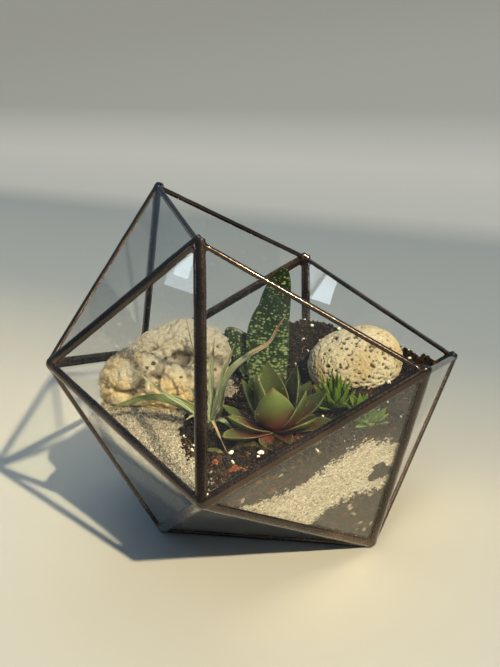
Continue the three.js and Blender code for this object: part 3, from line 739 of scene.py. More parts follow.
def holes(places, count, radii, seed, where=None):
    """Depth at each point of round pits scattered over a surface."""
    rng = np.random.default_rng(seed)
    allowed = np.flatnonzero(where) if where is not None else np.arange(len(places))
    tree = kdtree.KDTree(len(places))
    for k, place in enumerate(places):
        tree.insert(place, k)
    tree.balance()
    depth = np.zeros(len(places))
    for k in rng.choice(allowed, count, replace=False):
        radius = radii[0] + (radii[1] - radii[0]) * rng.random() ** 2.2
        long_axis = unit(rng.normal(size=3))
        stretch = rng.uniform(0.0, 0.5)
        for place, index, _ in tree.find_range(places[k], radius * 1.6):
            away = np.asarray(place) - places[k]
            away = away - stretch * away @ long_axis * long_axis
            share = np.linalg.norm(away) / radius
            if share < 1:
                depth[index] = max(depth[index], radius * math.sqrt(1 - share ** 2))
    return depth


# %% The limestone rock
ROCK_FOLDS = [  # depth, width, then points on the line that it follows over the rock
    (2.4, 1.7, [(-78, 22, 99), (-71, 16, 103), (-66, 7, 101), (-64, 2, 95), (-67, 0, 89),
                (-73, 1, 86)]),
    (1.7, 1.5, [(-86, 11, 89), (-80, 4, 89), (-73, 1, 86)]),
    (2.0, 1.4, [(-67, 0, 89), (-62, 1, 94), (-57, 3, 95)]),
    (2.2, 1.5, [(-58, -3, 90), (-56, 3, 95), (-52, 8, 98), (-44, 5, 98), (-41, -2, 95),
                (-40, -5, 89)]),
    (3.6, 3.4, [(-43, 10, 100), (-35, 4, 98), (-25, 2, 95), (-18, 8, 88)]),
    (1.6, 1.1, [(-57, 18, 105), (-52, 17, 106), (-44, 18, 108)]),
    (1.3, 1.0, [(-60, 11, 103), (-57, 17, 104), (-52, 14, 103), (-51, 11, 101)]),
]
# The largest holes: the middle and the radius of each.
ROCK_HOLES = [(-56, 13, 103, 1.1), (-56, 7, 100, 1.5), (-45, 10, 100, 1.3), (-50, 10, 99, 0.9)]
VALLEY = (0.9, 5)  # depth and width of the broad hollow that each fold lies in
ROCK_SKIN = 0.54  # size of the skin's quads
GRIT = [(0.55, 2.6, 22), (0.6, 1.25, 23)]  # height, pitch and seed of each layer


def nearness(places, line, width):
    """1 on a smooth line through the given points, falling off over the width beside it."""
    away = np.full(len(places), 1e9)
    for point in catmull(line, 8 * len(line)):
        away = np.minimum(away, ((places - point) ** 2).sum(1))
    return np.exp(-away / width ** 2)


rock = remeshed(merged_copy("limestone_rock_carved", "limestone_rock"), ROCK_SKIN, smoothing=3)
places, normals = points_of(rock), normals_of(rock)
# noise shifts the places where the other noise is read, so that no fold runs straight
bent = places + 3 * np.column_stack([lumps(places, 9, seed) for seed in (24, 25, 26)])
broad = lumps(bent * (0.9, 0.9, 1.7), 17, 20)
small = lumps(bent * (1, 1, 1.4), 7, 21)
# rounded swellings, with a crack wherever two of them meet
swell = 2.0 * np.abs(broad) ** 0.6 + 0.8 * np.abs(small) ** 0.7
crack = 0.5 * np.exp(-(broad / 0.07) ** 2) + 0.35 * np.exp(-(small / 0.08) ** 2)
fold = sum(depth * nearness(places, line, width) + VALLEY[0] * nearness(places, line, VALLEY[1])
           for depth, width, line in ROCK_FOLDS)
flaw = np.exp(-(lumps(bent, 4.2, 28) / 0.13) ** 2)
grit = relief(places, GRIT) - 0.35 * flaw
pits = holes(places, 130, (0.5, 1.2), 5)
specks = holes(places, 240, (0.45, 0.8), 6, places[:, 0] < -62)
for *middle, radius in ROCK_HOLES:
    share = np.linalg.norm(places - middle, axis=1) / radius
    pits = np.maximum(pits, 1.5 * radius * np.sqrt(np.maximum(1 - share ** 2, 0)))
sunk = 0.9 * pits + 0.8 * specks
raised = (swell - 1.9 * crack - fold + grit - sunk - 1.0) * freedom(places, 1.5)
places += normals * raised[:, None]
move_points(rock, places)
# painted shade: the material darkens each point by how deep it was sunk, and in cracks and folds
note(rock, "hollow", sunk + 0.5 * crack + 0.15 * flaw + 0.2 * fold)
lower = np.clip((94 - places[:, 2]) / 16, -1, 1)  # the foot is stained more than the top
note(rock, "ochre", np.clip(0.35 + 0.45 * lumps(places, 13, 27) + 0.3 * lower + 0.3 * crack, 0, 1))

# %% The pumice stone
PUMICE_SKIN = 0.45  # size of the skin's quads
PUMICE_RELIEF = [(0.8, 9, 30), (0.45, 3, 31), (0.35, 1.3, 32)]  # heights, pitches and seeds

foam = remeshed(merged_copy("pumice_stone_pitted", "pumice_stone"), PUMICE_SKIN, smoothing=4)
places, normals = points_of(foam), normals_of(foam)
form = relief(places, PUMICE_RELIEF)
pits = holes(places, 1100, (0.45, 1.05), 7)
places += normals * ((form - 1.3 * pits) * freedom(places, 1))[:, None]
move_points(foam, places)
# painted shade: the material darkens the pits by their depth
note(foam, "hollow", 1.5 * pits)
note(foam, "ochre", np.clip(0.5 + 0.5 * lumps(places, 12, 33), 0, 1))


# %% Their materials
def porous_stone(name, pale, warm, hole_shade, pore):
    """A pale porous stone: two body colours, painted shade in its holes and pores, and pores of
    the given size in mm.
    """
    made, tree, output = new_material(name)
    place = add(tree, "ShaderNodeTexCoord").outputs["Object"]
    ochre = add(tree, "ShaderNodeAttribute", attribute_name="ochre").outputs["Fac"]
    hollow = add(tree, "ShaderNodeAttribute", attribute_name="hollow").outputs["Fac"]
    grain = add(tree, "ShaderNodeTexNoise", {"Vector": place, "Scale": 1000 / (2 * pore),
                                             "Detail": 6, "Roughness": 0.7})
    pores = add(tree, "ShaderNodeTexVoronoi", {"Vector": place, "Scale": 1000 / (3 * pore)})
    warmth = add(tree, "ShaderNodeMath", {0: grain, 1: 0.7, 2: ochre}, operation="MULTIPLY_ADD")
    tint = add(tree, "ShaderNodeMapRange", {"Value": warmth, "From Min": 0.65,
                                            "From Max": 1.15})
    body = add(tree, "ShaderNodeMix", {0: tint, 6: pale, 7: warm}, data_type="RGBA")
    # painted shade in pores too small to carve, drawn as dark dots
    pore_shade = add(tree, "ShaderNodeMapRange", {"Value": pores.outputs["Distance"],
                                                "From Min": 0.24, "From Max": 0.12})
    # painted shade: the deeper a point was sunk, the darker it is painted
    painted_shade = add(tree, "ShaderNodeMapRange", {"Value": hollow, "From Min": 0.35, "From Max": 1.1,
                                            "To Min": 0.0, "To Max": 0.85})
    painted_shade = add(tree, "ShaderNodeMath", {0: pore_shade, 1: 0.45, 2: painted_shade},
               operation="MULTIPLY_ADD", use_clamp=True)
    colour = add(tree, "ShaderNodeMix", {0: painted_shade, 6: body.outputs[2], 7: hole_shade},
                 data_type="RGBA")
    bump = add(tree, "ShaderNodeBump", {"Height": grain, "Distance": 0.9 * MM,
                                        "Strength": 1.0})
    stone = add(tree, "ShaderNodeBsdfPrincipled", {
        "Base Color": colour.outputs[2], "Roughness": 0.92, "Specular IOR Level": 0.25,
        "Normal": bump})
    tree.links.new(stone.outputs[0], output.inputs["Surface"])
    return made


dressed(rock, porous_stone("weathered_limestone", "#a5a197", "#b8a279", "#3b2a1b", 0.6),
        "limestone", "limestone_rock")
dressed(foam, porous_stone("tumbled_pumice", "#cfc5ac", "#c0ae8a", "#2c1e13", 0.45),
        "pumice", "pumice_stone")

# %% [markdown]
# ## Leaves
# Every leaf here is a loft: a section carried along a curved spine, as wide as the leaf's outline
# says. A section has a face and a back that meet in thin edges. All six plants come from one
# function with different outlines, sections and spines, as they do in the CAD model. Each point
# keeps its place on its own leaf, in millimetres along and across, so a material can draw veins,
# spots and margins that follow the leaf.

# %% One leaf
def spoon(t):
    """Widest past the middle, then a short point."""
    body = np.sin(np.pi / 2 * np.minimum(t / 0.55, 1))
    late = np.clip((t - 0.5) / 0.5, 0, 1)
    return (0.45 + 0.55 * body) * (1 - late ** 2.1)


def tongue(t):
    """Nearly as wide all along, with a round end."""
    return (0.82 + 0.18 * np.sin(np.pi * t)) * np.sqrt(1 - t ** 5)


def strap(t):
    """Widest at the foot, drawn out to a thread."""
    return 1 - 0.95 * t ** 1.25


def spike(t):
    """Narrow at the foot, soon full, then a sharp point."""
    return np.minimum(1, 0.45 + 1.6 * t) * (1 - t ** 2.2)


def lens_section(face, back, count=18):
    """Round a leaf's section: its face swells by one height and its back by the other."""
    angle = np.linspace(0, 2 * np.pi, count, endpoint=False)
    x, y = np.cos(angle), np.sin(angle)
    return x, np.where(y >= 0, face * (1 - x ** 4), -back * (1 - x ** 2) ** 0.8)


def bezier(start, middle, end):
    """A bend from start to end, drawn towards the middle point, as a function of its share."""
    def at(t):
        t = np.asarray(t, float)[:, None]
        return (1 - t) ** 2 * start + 2 * t * (1 - t) * middle + t ** 2 * end
    return at


def through(points):
    """A smooth curve through the given points, as a function of its share."""
    def at(t):
        dense = catmull(points, 120)
        return np.column_stack([np.interp(t, np.linspace(0, 1, 120), axis) for axis in dense.T])
    return at


def leaf(spine, sideways, width, thickness, outline, section, cup=0.0, steps=22, tilt=0.0):
    """Points, faces and each point's place on the leaf: along, across, share of its length."""
    # the rings stand closer together near the tip
    t = 1 - (1 - np.linspace(0, 0.985, steps)) ** 1.15
    centre = spine(t)
    along = spine(np.minimum(t + 0.004, 1)) - spine(np.maximum(t - 0.004, 0))
    along /= np.linalg.norm(along, axis=1)[:, None]
    across = sideways - (along @ sideways)[:, None] * along
    across /= np.linalg.norm(across, axis=1)[:, None]
    over = np.cross(across, along)
    # the first quarter of the leaf turns it about its spine
    angle = np.minimum(4 * t, 1)[:, None] * math.radians(tilt)
    across, over = (across * np.cos(angle) + over * np.sin(angle),
                    over * np.cos(angle) - across * np.sin(angle))
    half = width / 2 * outline(t)
    thick = thickness * np.clip(np.sqrt(1 - t ** 2), 0.3, 1)
    x, y = section
    rings = (centre[:, None] + across[:, None] * (half[:, None] * x)[:, :, None]
             + over[:, None] * (thick[:, None] * y
                                + cup * half[:, None] * x ** 2)[:, :, None])
    n = len(x)
    points = np.vstack([rings.reshape(-1, 3), spine([1.0]), spine([0.0])])
    tip, foot = steps * n, steps * n + 1
    faces = [(r * n + k, r * n + (k + 1) % n, (r + 1) * n + (k + 1) % n, (r + 1) * n + k)
             for r in range(steps - 1) for k in range(n)]
    faces += [((steps - 1) * n + k, (steps - 1) * n + (k + 1) % n, tip) for k in range(n)]
    faces += [((k + 1) % n, k, foot) for k in range(n)]
    length = np.linalg.norm(np.diff(spine(np.linspace(0, 1, 60)), axis=0), axis=1).sum()
    place = np.column_stack([np.repeat(t * length, n), (half[:, None] * x).ravel(),
                             np.repeat(t, n)])
    place = np.vstack([place, [length, 0, 1], [0, 0, 0]])
    return points, faces, place, np.append(np.tile(x, steps), [0, 0])


def foliage(name, leaves, ages=None):
    """Several leaves as one piece. A leaf's number sets its shade; age dries it from the tip."""
    points, faces, places, sides, numbers = [], [], [], [], []
    first = 0
    for number, (leaf_points, leaf_faces, place, side) in enumerate(leaves):
        points.append(leaf_points)
        faces += [tuple(k + first for k in face) for face in leaf_faces]
        places.append(place)
        sides.append(side)
        numbers.append(np.full(len(leaf_points), number))
        first += len(leaf_points)
    made = piece(name, np.vstack(points), faces)
    place, number = np.vstack(places), np.concatenate(numbers)
    note(made, "share", place[:, 2])
    note(made, "side", np.concatenate(sides))
    note(made, "leaf_number", number)
    note(made, "age", np.array(ages or [0] * len(leaves))[number])
    on_leaf = made.data.attributes.new("on_leaf", "FLOAT_VECTOR", "POINT")
    values = np.column_stack([place[:, 0], place[:, 1], number * 37.0]).astype(np.float32)
    on_leaf.data.foreach_set("vector", values.ravel())
    build = bmesh.new()
    build.from_mesh(made.data)
    bmesh.ops.recalc_face_normals(build, faces=build.faces)
    build.to_mesh(made.data)
    build.free()
    return made


def heading(degrees):
    """A level direction, anticlockwise from +X."""
    angle = math.radians(degrees)
    return np.array([math.cos(angle), math.sin(angle), 0])


def to_the_right(ahead):
    """The level direction at right angles to a direction, on its right."""
    return np.array([ahead[1], -ahead[0], 0])


def bowed(base, degrees, reach, height, bow, belly=0.0):
    """The spine of a leaf that bends upwards from its stem, and the level line to its right."""
    out = heading(degrees)
    up = np.array([0, 0, 1])
    middle = base + out * (reach * (0.5 + bow) + belly) + up * height * (0.5 - bow)
    return (bezier(base + out, middle, base + out * reach + up * height), to_the_right(out))


def ground_point(x, y, above=0.0):
    """A point on the ground's surface, or the given height above it."""
    return np.array([x, y, float(surface_at(x, y)) + above])


# %% [markdown]
# ## The plants
# A houseleek stands in front, its bud of cupped leaves half open. Behind it is a gasteria with
# thick spotted tongues in two ranks, and beside it an air plant with arching silver straps. Three
# small haworthias set their pointed leaves by the golden angle, as seeds sit in a sunflower.

# %% Houseleek
HOUSELEEK_PLACE = (-8, -50)  # x and y of its stem
HOUSELEEK_STEM = 2  # how far over the ground its leaves leave the stem
HOUSELEEK_THICK = 2.6
HOUSELEEK_LEAVES = [  # heading, reach, height, width, belly
    (80, 4, 38, 17, 5), (182, 6, 35, 21, 6), (-98, 9, 30, 20, 7), (8, 15, 34, 17, 4),
    (-32, 18, 25, 15, 3), (60, 20, 24, 15, 0), (108, 20, 24, 14, 0), (146, 15, 30, 12, 0),
    (-4, 28, 19, 16, 0), (-52, 26, 15, 16, 0), (-172, 24, 17, 14, 0), (154, 26, 17, 9, 0),
    (30, 28, 18, 14, 0), (-34, 32, 8, 14, 0), (-158, 31, 11, 14, 0), (-103, 21, 1, 17, 0),
    (-68, 29, 3, 15, 0), (84, 26, 14, 13, 0),
]
base = ground_point(*HOUSELEEK_PLACE, HOUSELEEK_STEM)
houseleek = foliage("houseleek_rosette", [
    leaf(*bowed(base, degrees, reach, height - HOUSELEEK_STEM, 0.22, belly), width,
         HOUSELEEK_THICK, spoon, lens_section(0.14, 0.62), cup=0.38)
    for degrees, reach, height, width, belly in HOUSELEEK_LEAVES])

# %% Gasteria
GASTERIA_PLACE = (4, 12)
GASTERIA_LEAVES = [  # foot, tip, height, width, thickness, facing
    ((3, 7), (13, 8), 51, 24, 9, -22), ((8, 17), (21, 13), 64, 19, 8, -10),
    ((-2, 14), (-14, 21), 33, 15, 6, -8),
]
level = ground_point(*GASTERIA_PLACE)[2]
tongues = []
for foot, tip, height, width, thickness, facing in GASTERIA_LEAVES:
    spine = bezier(np.array([*foot, level - 1]), np.array([*foot, level + 0.55 * height]),
                   np.array([*tip, level + height]))
    tongues.append(leaf(spine, heading(facing), width, thickness, tongue,
                        lens_section(0.22, 0.6, 40), steps=60))
gasteria = foliage("gasteria_tongues", tongues)

# %% Air plant
AIR_PLANT_PLACE = (-37, -31)
STRAP_THICK = 1.2
AIR_PLANT_STRAPS = [  # heading, width, tilt, age, then reach and height where it passes
    (158, 7, 45, 0, [(8, 10), (18, 16.5), (30, 18.5), (44, 15.5), (54, 11.5)]),
    (180, 3, 50, 0, [(11, 15), (20, 24), (30, 36), (38, 46)]),
    (165, 4, 0, 0, [(2, 14), (1, 30), (3, 46), (4, 61)]),
    (0, 4, -30, 0, [(4, 12), (9, 27), (14, 36), (18, 44)]),
    (0, 6, -30, 0.34, [(6, 9), (9, 21), (15, 30), (25, 36), (35, 40), (40, 47), (45, 53)]),
    (60, 4, 0, 0, [(5, 12), (11, 26), (16, 34), (22, 41)]),
    (-135, 5, 0, 0.1, [(6, 8), (12, 13), (19, 14)]), (-62, 6, 0, 0, [(6, 6), (12, 7), (19, 4)]),
    (-88, 2.4, 0, 0.85, [(4, 6), (10, 6.5), (22, 4), (34, 2.5)]),
    (120, 5, 0, 0, [(5, 9), (10, 17), (16, 20)]),
]
base = ground_point(*AIR_PLANT_PLACE, 1)
straps = []
for degrees, width, tilt, _, passes in AIR_PLANT_STRAPS:
    out = heading(degrees)
    points = [base] + [base + out * reach + (0, 0, height) for reach, height in passes]
    straps.append(leaf(through(points), to_the_right(out), width, STRAP_THICK, strap,
                       lens_section(0.1, 0.5, 14), cup=0.4, steps=16 + 5 * len(passes),
                       tilt=tilt))
air_plant = foliage("air_plant_straps", straps, [row[3] for row in AIR_PLANT_STRAPS])

# %% Haworthias
GOLDEN_ANGLE = 180 * (3 - math.sqrt(5))
HAWORTHIA_THICK = 2.2
HAWORTHIAS = {  # x, y, reach, height, width, leaves, first heading
    "haworthia_1": (27, -38, 13, 21, 6, 26, 20), "haworthia_2": (36, -54, 11, 11, 4.6, 15, 75),
    "haworthia_3": (33, -77, 12, 8, 5, 12, 140),
}
haworthias = {}
for node, (x, y, reach, height, width, count, first) in HAWORTHIAS.items():
    base = ground_point(x, y, 1.5)
    leaves = []
    for k in range(count):
        # the inner leaves stand up and the outer ones lie flatter
        spread = math.sqrt((k + 0.5) / count)
        spine, sideways = bowed(base, first + k * GOLDEN_ANGLE, 2 + (reach - 2) * spread,
                                2.5 + (height - 4) * (1 - 0.8 * spread ** 2), 0.15)
        leaves.append(leaf(spine, sideways, width, HAWORTHIA_THICK, spike,
                           lens_section(0.15, 0.75, 12), cup=0.25, steps=14))
    haworthias[node] = foliage(node + "_rosette", leaves)


# %% [markdown]
# ## Leaf finishes
# A succulent's skin is waxy: it scatters a little light from inside and has a soft shine. Its
# colour changes along the leaf. The houseleek is blood red at its foot and pale at the margins,
# the gasteria is dark with rows of raised pale spots, and the air plant is covered in silver
# scales that lie in lines.

# %% Their materials
def leaf_finish(name, along, margin, edge, silver=0.0, spots=None, rough=0.5):
    """A waxy leaf: its colours from foot to tip, and its margin from the given side outwards."""
    # places on a leaf are in millimetres, so the scales of its patterns are per millimetre
    made, tree, output = new_material(name)
    share = add(tree, "ShaderNodeAttribute", attribute_name="share").outputs["Fac"]
    side = add(tree, "ShaderNodeAttribute", attribute_name="side").outputs["Fac"]
    on_leaf = add(tree, "ShaderNodeAttribute", attribute_name="on_leaf").outputs["Vector"]
    number = add(tree, "ShaderNodeAttribute", attribute_name="leaf_number").outputs["Fac"]
    mottle = add(tree, "ShaderNodeTexNoise", {"Vector": on_leaf, "Scale": 0.28, "Detail": 4})
    wander = add(tree, "ShaderNodeMath", {0: mottle, 1: 0.24, 2: -0.12},
                 operation="MULTIPLY_ADD")
    ripe = add(tree, "ShaderNodeMath", {0: share, 1: wander}, operation="ADD")
    age = add(tree, "ShaderNodeAttribute", attribute_name="age").outputs["Fac"]
    ripe = add(tree, "ShaderNodeMath", {0: ripe, 1: age}, operation="ADD")
    colour = add(tree, "ShaderNodeValToRGB", {0: ripe}, stops=along).outputs[0]
    own = add(tree, "ShaderNodeTexWhiteNoise", {"W": number}, noise_dimensions="1D")
    shade = add(tree, "ShaderNodeMapRange", {"Value": own, "To Min": 0.8, "To Max": 1.12})
    colour = add(tree, "ShaderNodeMix", {0: 1.0, 6: colour, 7: shade}, data_type="RGBA",
                 blend_type="MULTIPLY").outputs[2]
    # lines along the leaf: fine across it, long along it
    stretch = add(tree, "ShaderNodeMapping", {"Vector": on_leaf, "Scale": (0.12, 2.2, 1)})
    lines = add(tree, "ShaderNodeTexNoise", {"Vector": stretch, "Scale": 1.0, "Detail": 3})
    if silver:
        # the oldest leaf, the first one, has lost most of its scales
        young = add(tree, "ShaderNodeMapRange", {"Value": number, "To Min": 0.15 * silver,
                                                 "To Max": silver})
        scales = add(tree, "ShaderNodeMapRange", {"Value": lines, "From Min": 0.35,
                                                  "From Max": 0.6, "To Max": young})
        colour = add(tree, "ShaderNodeMix", {0: scales, 6: colour, 7: "#a4ab9a"},
                     data_type="RGBA").outputs[2]
    bumps = lines.outputs[0]
    if spots:
        squeeze = add(tree, "ShaderNodeMapping", {"Vector": on_leaf, "Scale": (0.72, 0.5, 1)})
        cells = add(tree, "ShaderNodeTexVoronoi", {"Vector": squeeze, "Scale": 1.0,
                                                   "Randomness": 0.75})
        # the spots lie in uneven bands across the leaf
        across = add(tree, "ShaderNodeMapping", {"Vector": on_leaf, "Scale": (0.4, 0.16, 1)})
        rows = add(tree, "ShaderNodeTexNoise", {"Vector": across, "Scale": 1.0, "Detail": 3})
        limit = add(tree, "ShaderNodeMapRange", {"Value": rows, "From Min": 0.34,
                                                 "From Max": 0.6, "To Min": 0.16,
                                                 "To Max": 0.5})
        inside = add(tree, "ShaderNodeMath", {0: limit, 1: cells.outputs["Distance"]},
                     operation="SUBTRACT")
        # spots crowd together low on the leaf and shrink towards its tip
        grown = add(tree, "ShaderNodeMapRange", {"Value": share, "To Min": 0.3,
                                                 "To Max": -0.02})
        inside = add(tree, "ShaderNodeMath", {0: inside, 1: grown}, operation="ADD")
        spot = add(tree, "ShaderNodeMapRange", {"Value": inside, "From Max": 0.28})
        colour = add(tree, "ShaderNodeMix", {0: spot, 6: colour, 7: spots},
                     data_type="RGBA").outputs[2]
        bumps = spot.outputs[0]
    out = add(tree, "ShaderNodeMath", {0: side}, operation="ABSOLUTE")
    rim = add(tree, "ShaderNodeMapRange", {"Value": out, "From Min": edge, "From Max": 1.0})
    colour = add(tree, "ShaderNodeMix", {0: rim, 6: colour, 7: margin},
                 data_type="RGBA").outputs[2]
    # here and there a grain of sand dust, 0.7 mm wide
    place = add(tree, "ShaderNodeTexCoord").outputs["Object"]
    dust = add(tree, "ShaderNodeTexVoronoi", {"Vector": place, "Scale": 650})
    chosen = add(tree, "ShaderNodeSeparateColor", {0: dust.outputs["Color"]})
    chosen = add(tree, "ShaderNodeMath", {0: chosen, 1: 0.94}, operation="GREATER_THAN")
    grain = add(tree, "ShaderNodeMath", {0: dust.outputs["Distance"], 1: 0.24},
                operation="LESS_THAN")
    grain = add(tree, "ShaderNodeMath", {0: grain, 1: chosen}, operation="MULTIPLY")
    colour = add(tree, "ShaderNodeMix", {0: grain, 6: colour, 7: "#a59f8e"},
                 data_type="RGBA").outputs[2]
    bump = add(tree, "ShaderNodeBump", {"Height": bumps, "Distance": 0.12 * MM,
                                        "Strength": 0.6})
    wax = add(tree, "ShaderNodeBsdfPrincipled", {
        "Base Color": colour, "Roughness": rough, "Subsurface Weight": 0.12,
        "Subsurface Radius": (1.0, 0.8, 0.35), "Subsurface Scale": 0.0015,
        "IOR": 1.42, "Specular IOR Level": 0.3, "Normal": bump})
    tree.links.new(wax.outputs[0], output.inputs["Surface"])
    return made


dressed(houseleek, leaf_finish("waxy_houseleek_leaf", [
    (0.0, "#430d12"), (0.3, "#4a1b19"), (0.52, "#40301d"), (0.7, "#394120"), (0.93, "#465026"),
    (1.0, "#4a2a20")], "#767c55", 0.93), "houseleek_leaf", "houseleek")
dressed(gasteria, leaf_finish("spotted_gasteria_leaf", [
    (0.0, "#2f451a"), (0.4, "#20341a"), (1.0, "#142414")], "#33452d", 0.95, spots="#84966a",
    rough=0.36), "gasteria_leaf", "gasteria")
dressed(air_plant, leaf_finish("scaly_air_plant_leaf", [
    (0.0, "#3a4216"), (0.2, "#404c20"), (0.7, "#4c5830"), (0.9, "#5d5a35"), (1.0, "#85562c")],
    "#767f5c", 0.85, silver=0.55, rough=0.6), "air_plant_leaf", "air_plant")
green_spikes = leaf_finish("glossy_haworthia_leaf", [
    (0.0, "#28390c"), (0.4, "#3a560f"), (0.9, "#577020"), (1.0, "#7f6533")], "#657d30", 0.85,
    rough=0.34)
for node, rosette in haworthias.items():
    dressed(rosette, green_spikes, "haworthia_leaf", node)

# %% [markdown]
# ## Grains, crumbs, perlite and fibres
# A smooth skin never looks like soil. Thousands of separate bits lie on it: quartz grains on the
# sand, crumbs of peat and white perlite on the soil, and coir fibres that stick up. Geometry
# Nodes scatter them with a fixed seed. The density follows a number stored on the ground, so
# each kind stays on its own patch, and each bit is a ball of few faces, squashed and turned at
# random.

# %% The tree that scatters bits
TURN = 6.3  # a whole turn in radians, rounded up


def sown_points(tree, given, tone_seed):
    """Points strewn over the patch of a host, each with a random tone, and the strewing node."""
    patch = add(tree, "GeometryNodeInputNamedAttribute", {"Name": "patch"}, data_type="FLOAT")
    density = add(tree, "ShaderNodeMath", {0: given.outputs["Per Square Metre"], 1: patch},
                  operation="MULTIPLY")
    spread = add(tree, "GeometryNodeDistributePointsOnFaces",
                 {0: given, "Density": density, "Seed": given.outputs["Seed"]})
    tone = add(tree, "FunctionNodeRandomValue", {"Seed": tone_seed}, data_type="FLOAT")
    toned = add(tree, "GeometryNodeStoreNamedAttribute", {0: spread, "Name": "tone",
                                                          "Value": tone.outputs[1]},
                data_type="FLOAT", domain="POINT")
    return toned, spread


def set_out(tree, given, result, points, shape, least, most, size):
    """Ends a tree: the shape on each point, turned at random between two sets of angles."""
    turned = add(tree, "FunctionNodeRandomValue", {0: least, 1: most, "Seed": 3},
                 data_type="FLOAT_VECTOR")
    placed = add(tree, "GeometryNodeInstanceOnPoints", {
        "Points": points, "Instance": shape, "Rotation": turned, "Scale": size})
    real = add(tree, "GeometryNodeRealizeInstances", {0: placed})
    painted = add(tree, "GeometryNodeSetMaterial", {0: real,
                                                    "Material": given.outputs["Material"]})
    tree.links.new(painted.outputs[0], result.inputs[0])
    return tree


def scatter_tree():
    """Strews squashed balls of few faces."""
    tree, given, result = node_tree("scattered_bits", [
        ("Per Square Metre", "NodeSocketFloat", 1000.0), ("Size", "NodeSocketFloat", MM),
        ("Flatness", "NodeSocketFloat", 1.0), ("Lift", "NodeSocketFloat", 0.0),
        ("Fineness", "NodeSocketInt", 1), ("Seed", "NodeSocketInt", 1),
        ("Material", "NodeSocketMaterial", None),
    ])
    value = given.outputs
    toned, spread = sown_points(tree, given, value["Seed"])
    away = add(tree, "ShaderNodeVectorMath", {0: spread.outputs["Normal"],
                                              "Scale": value["Lift"]}, operation="SCALE")
    lifted = add(tree, "GeometryNodeSetPosition", {0: toned, "Offset": away})
    ball = add(tree, "GeometryNodeMeshIcoSphere", {"Radius": 0.5,
                                                   "Subdivisions": value["Fineness"]})
    thin = add(tree, "ShaderNodeCombineXYZ", {0: 1.0, 1: 1.0, 2: value["Flatness"]})
    bit = add(tree, "GeometryNodeTransform", {0: ball, "Scale": thin})
    size = add(tree, "FunctionNodeRandomValue", {0: (0.55, 0.45, 0.5), 1: (1.5, 1.1, 1.2),
                                                 "Seed": 7}, data_type="FLOAT_VECTOR")
    size = add(tree, "ShaderNodeVectorMath", {0: size, "Scale": value["Size"]},
               operation="SCALE")
    return set_out(tree, given, result, lifted, bit, (0, 0, 0), (TURN, TURN, TURN), size)


# %% The bits' materials
def bit_finish(name, shades, rough, glow=0.0):
    """A material whose bits each take one shade from a ramp."""
    made, tree, output = new_material(name)
    tone = add(tree, "ShaderNodeAttribute", attribute_name="tone").outputs["Fac"]
    place = add(tree, "ShaderNodeTexCoord").outputs["Object"]
    grain = add(tree, "ShaderNodeTexNoise", {"Vector": place, "Scale": 1500, "Detail": 2})
    blend = add(tree, "ShaderNodeMath", {0: grain, 1: 0.16, 2: tone}, operation="MULTIPLY_ADD")
    blend = add(tree, "ShaderNodeMath", {0: blend, 1: -0.08}, operation="ADD")
    colour = add(tree, "ShaderNodeValToRGB", {0: blend}, stops=shades)
    skin = add(tree, "ShaderNodeBsdfPrincipled", {
        "Base Color": colour, "Roughness": rough, "Subsurface Weight": glow,
        "Subsurface Scale": 0.0006, "Specular IOR Level": 0.25})
    tree.links.new(skin.outputs[0], output.inputs["Surface"])
    return made


QUARTZ = bit_finish("washed_quartz_grain", [
    (0.0, "#403a33"), (0.07, "#6c6457"), (0.35, "#877f73"), (0.7, "#9a9388"),
    (1.0, "#c0bbb1")], 0.45, glow=0.1)
PEAT = bit_finish("moist_peat_crumb", [
    (0.0, "#070403"), (0.5, "#110b06"), (0.8, "#1d130b"), (0.92, "#352013"),
    (1.0, "#4f2f1a")], 0.9)
PERLITE = bit_finish("expanded_perlite", [(0.0, "#c8c2b4"), (0.5, "#e6e2d8"), (1.0, "#fbfaf5")],
                     0.85, glow=0.1)
SCATTER = scatter_tree()

# %% Sow them
def clear_of_glass(places, gap):
    """True where a point lies at least the gap in millimetres inside every pane."""
    reach = np.full(len(places), -1e9)
    for face in PANES:
        reach = np.maximum(reach, (places - CENTRE) @ face_normal(face))
    return reach < IN_RADIUS - GLASS - gap


ROCK_LOBE = (-69, 23, 101)  # the middle of the high end of the rock, dusted with sand

places = points_of(ground)
open_ground = (on_top > 0.4) * clear_of_glass(places, 1.5)
in_sand = np.clip(sand_depth / 2 + 0.3 + 0.4 * lumps(places, 3.5, 40), 0, 1) * open_ground
in_soil = np.clip(0.8 - sand_depth / 1.5, 0, 1) * open_ground
# a few grains of quartz have strayed into the soil beside the sand
strays = np.clip(1 - np.abs(sand_depth + 3) / 6, 0, 1) ** 2 * open_ground
lobe = np.linalg.norm(points_of(rock) - ROCK_LOBE, axis=1)
on_lobe = np.clip(1.3 - lobe / 13, 0, 1) * np.clip(2.5 * normals_of(rock)[:, 2] - 0.4, 0, 1)
BITS = [  # name, slot, material, host, patch, number per square metre, the other inputs
    ("quartz_grains", "sand", QUARTZ, ground, in_sand + 0.12 * strays, 1.0e6,
     {"Size": 0.88 * MM, "Lift": 0.25 * MM, "Seed": 11}),
    ("sand_on_rock", "sand", QUARTZ, rock, on_lobe, 1.3e6,
     {"Size": 0.8 * MM, "Lift": 0.15 * MM, "Seed": 14}),
    ("peat_crumbs", "soil", PEAT, ground, in_soil, 0.3e6,
     {"Size": 1.9 * MM, "Lift": 0.4 * MM, "Flatness": 0.7, "Seed": 12}),
    ("peat_lumps", "soil", PEAT, ground, in_soil * clear_of_glass(places, 3), 0.045e6,
     {"Size": 3.6 * MM, "Lift": 0.5 * MM, "Flatness": 0.75, "Seed": 15}),
    ("perlite_bits", "perlite", PERLITE, ground, in_soil, 0.004e6,
     {"Size": 1.9 * MM, "Lift": 0.7 * MM, "Fineness": 2, "Seed": 13}),
]
for name, slot, material, host, patch, number, values in BITS:
    bits = in_scene(name, host.data.copy())
    note(bits, "patch", patch)
    run_tree(bits, SCATTER, {"Per Square Metre": float(number), "Material": material, **values})
    if material == PERLITE:
        bits.data.shade_smooth()
    else:
        bits.data.shade_flat()
    dressed(bits, material, slot)


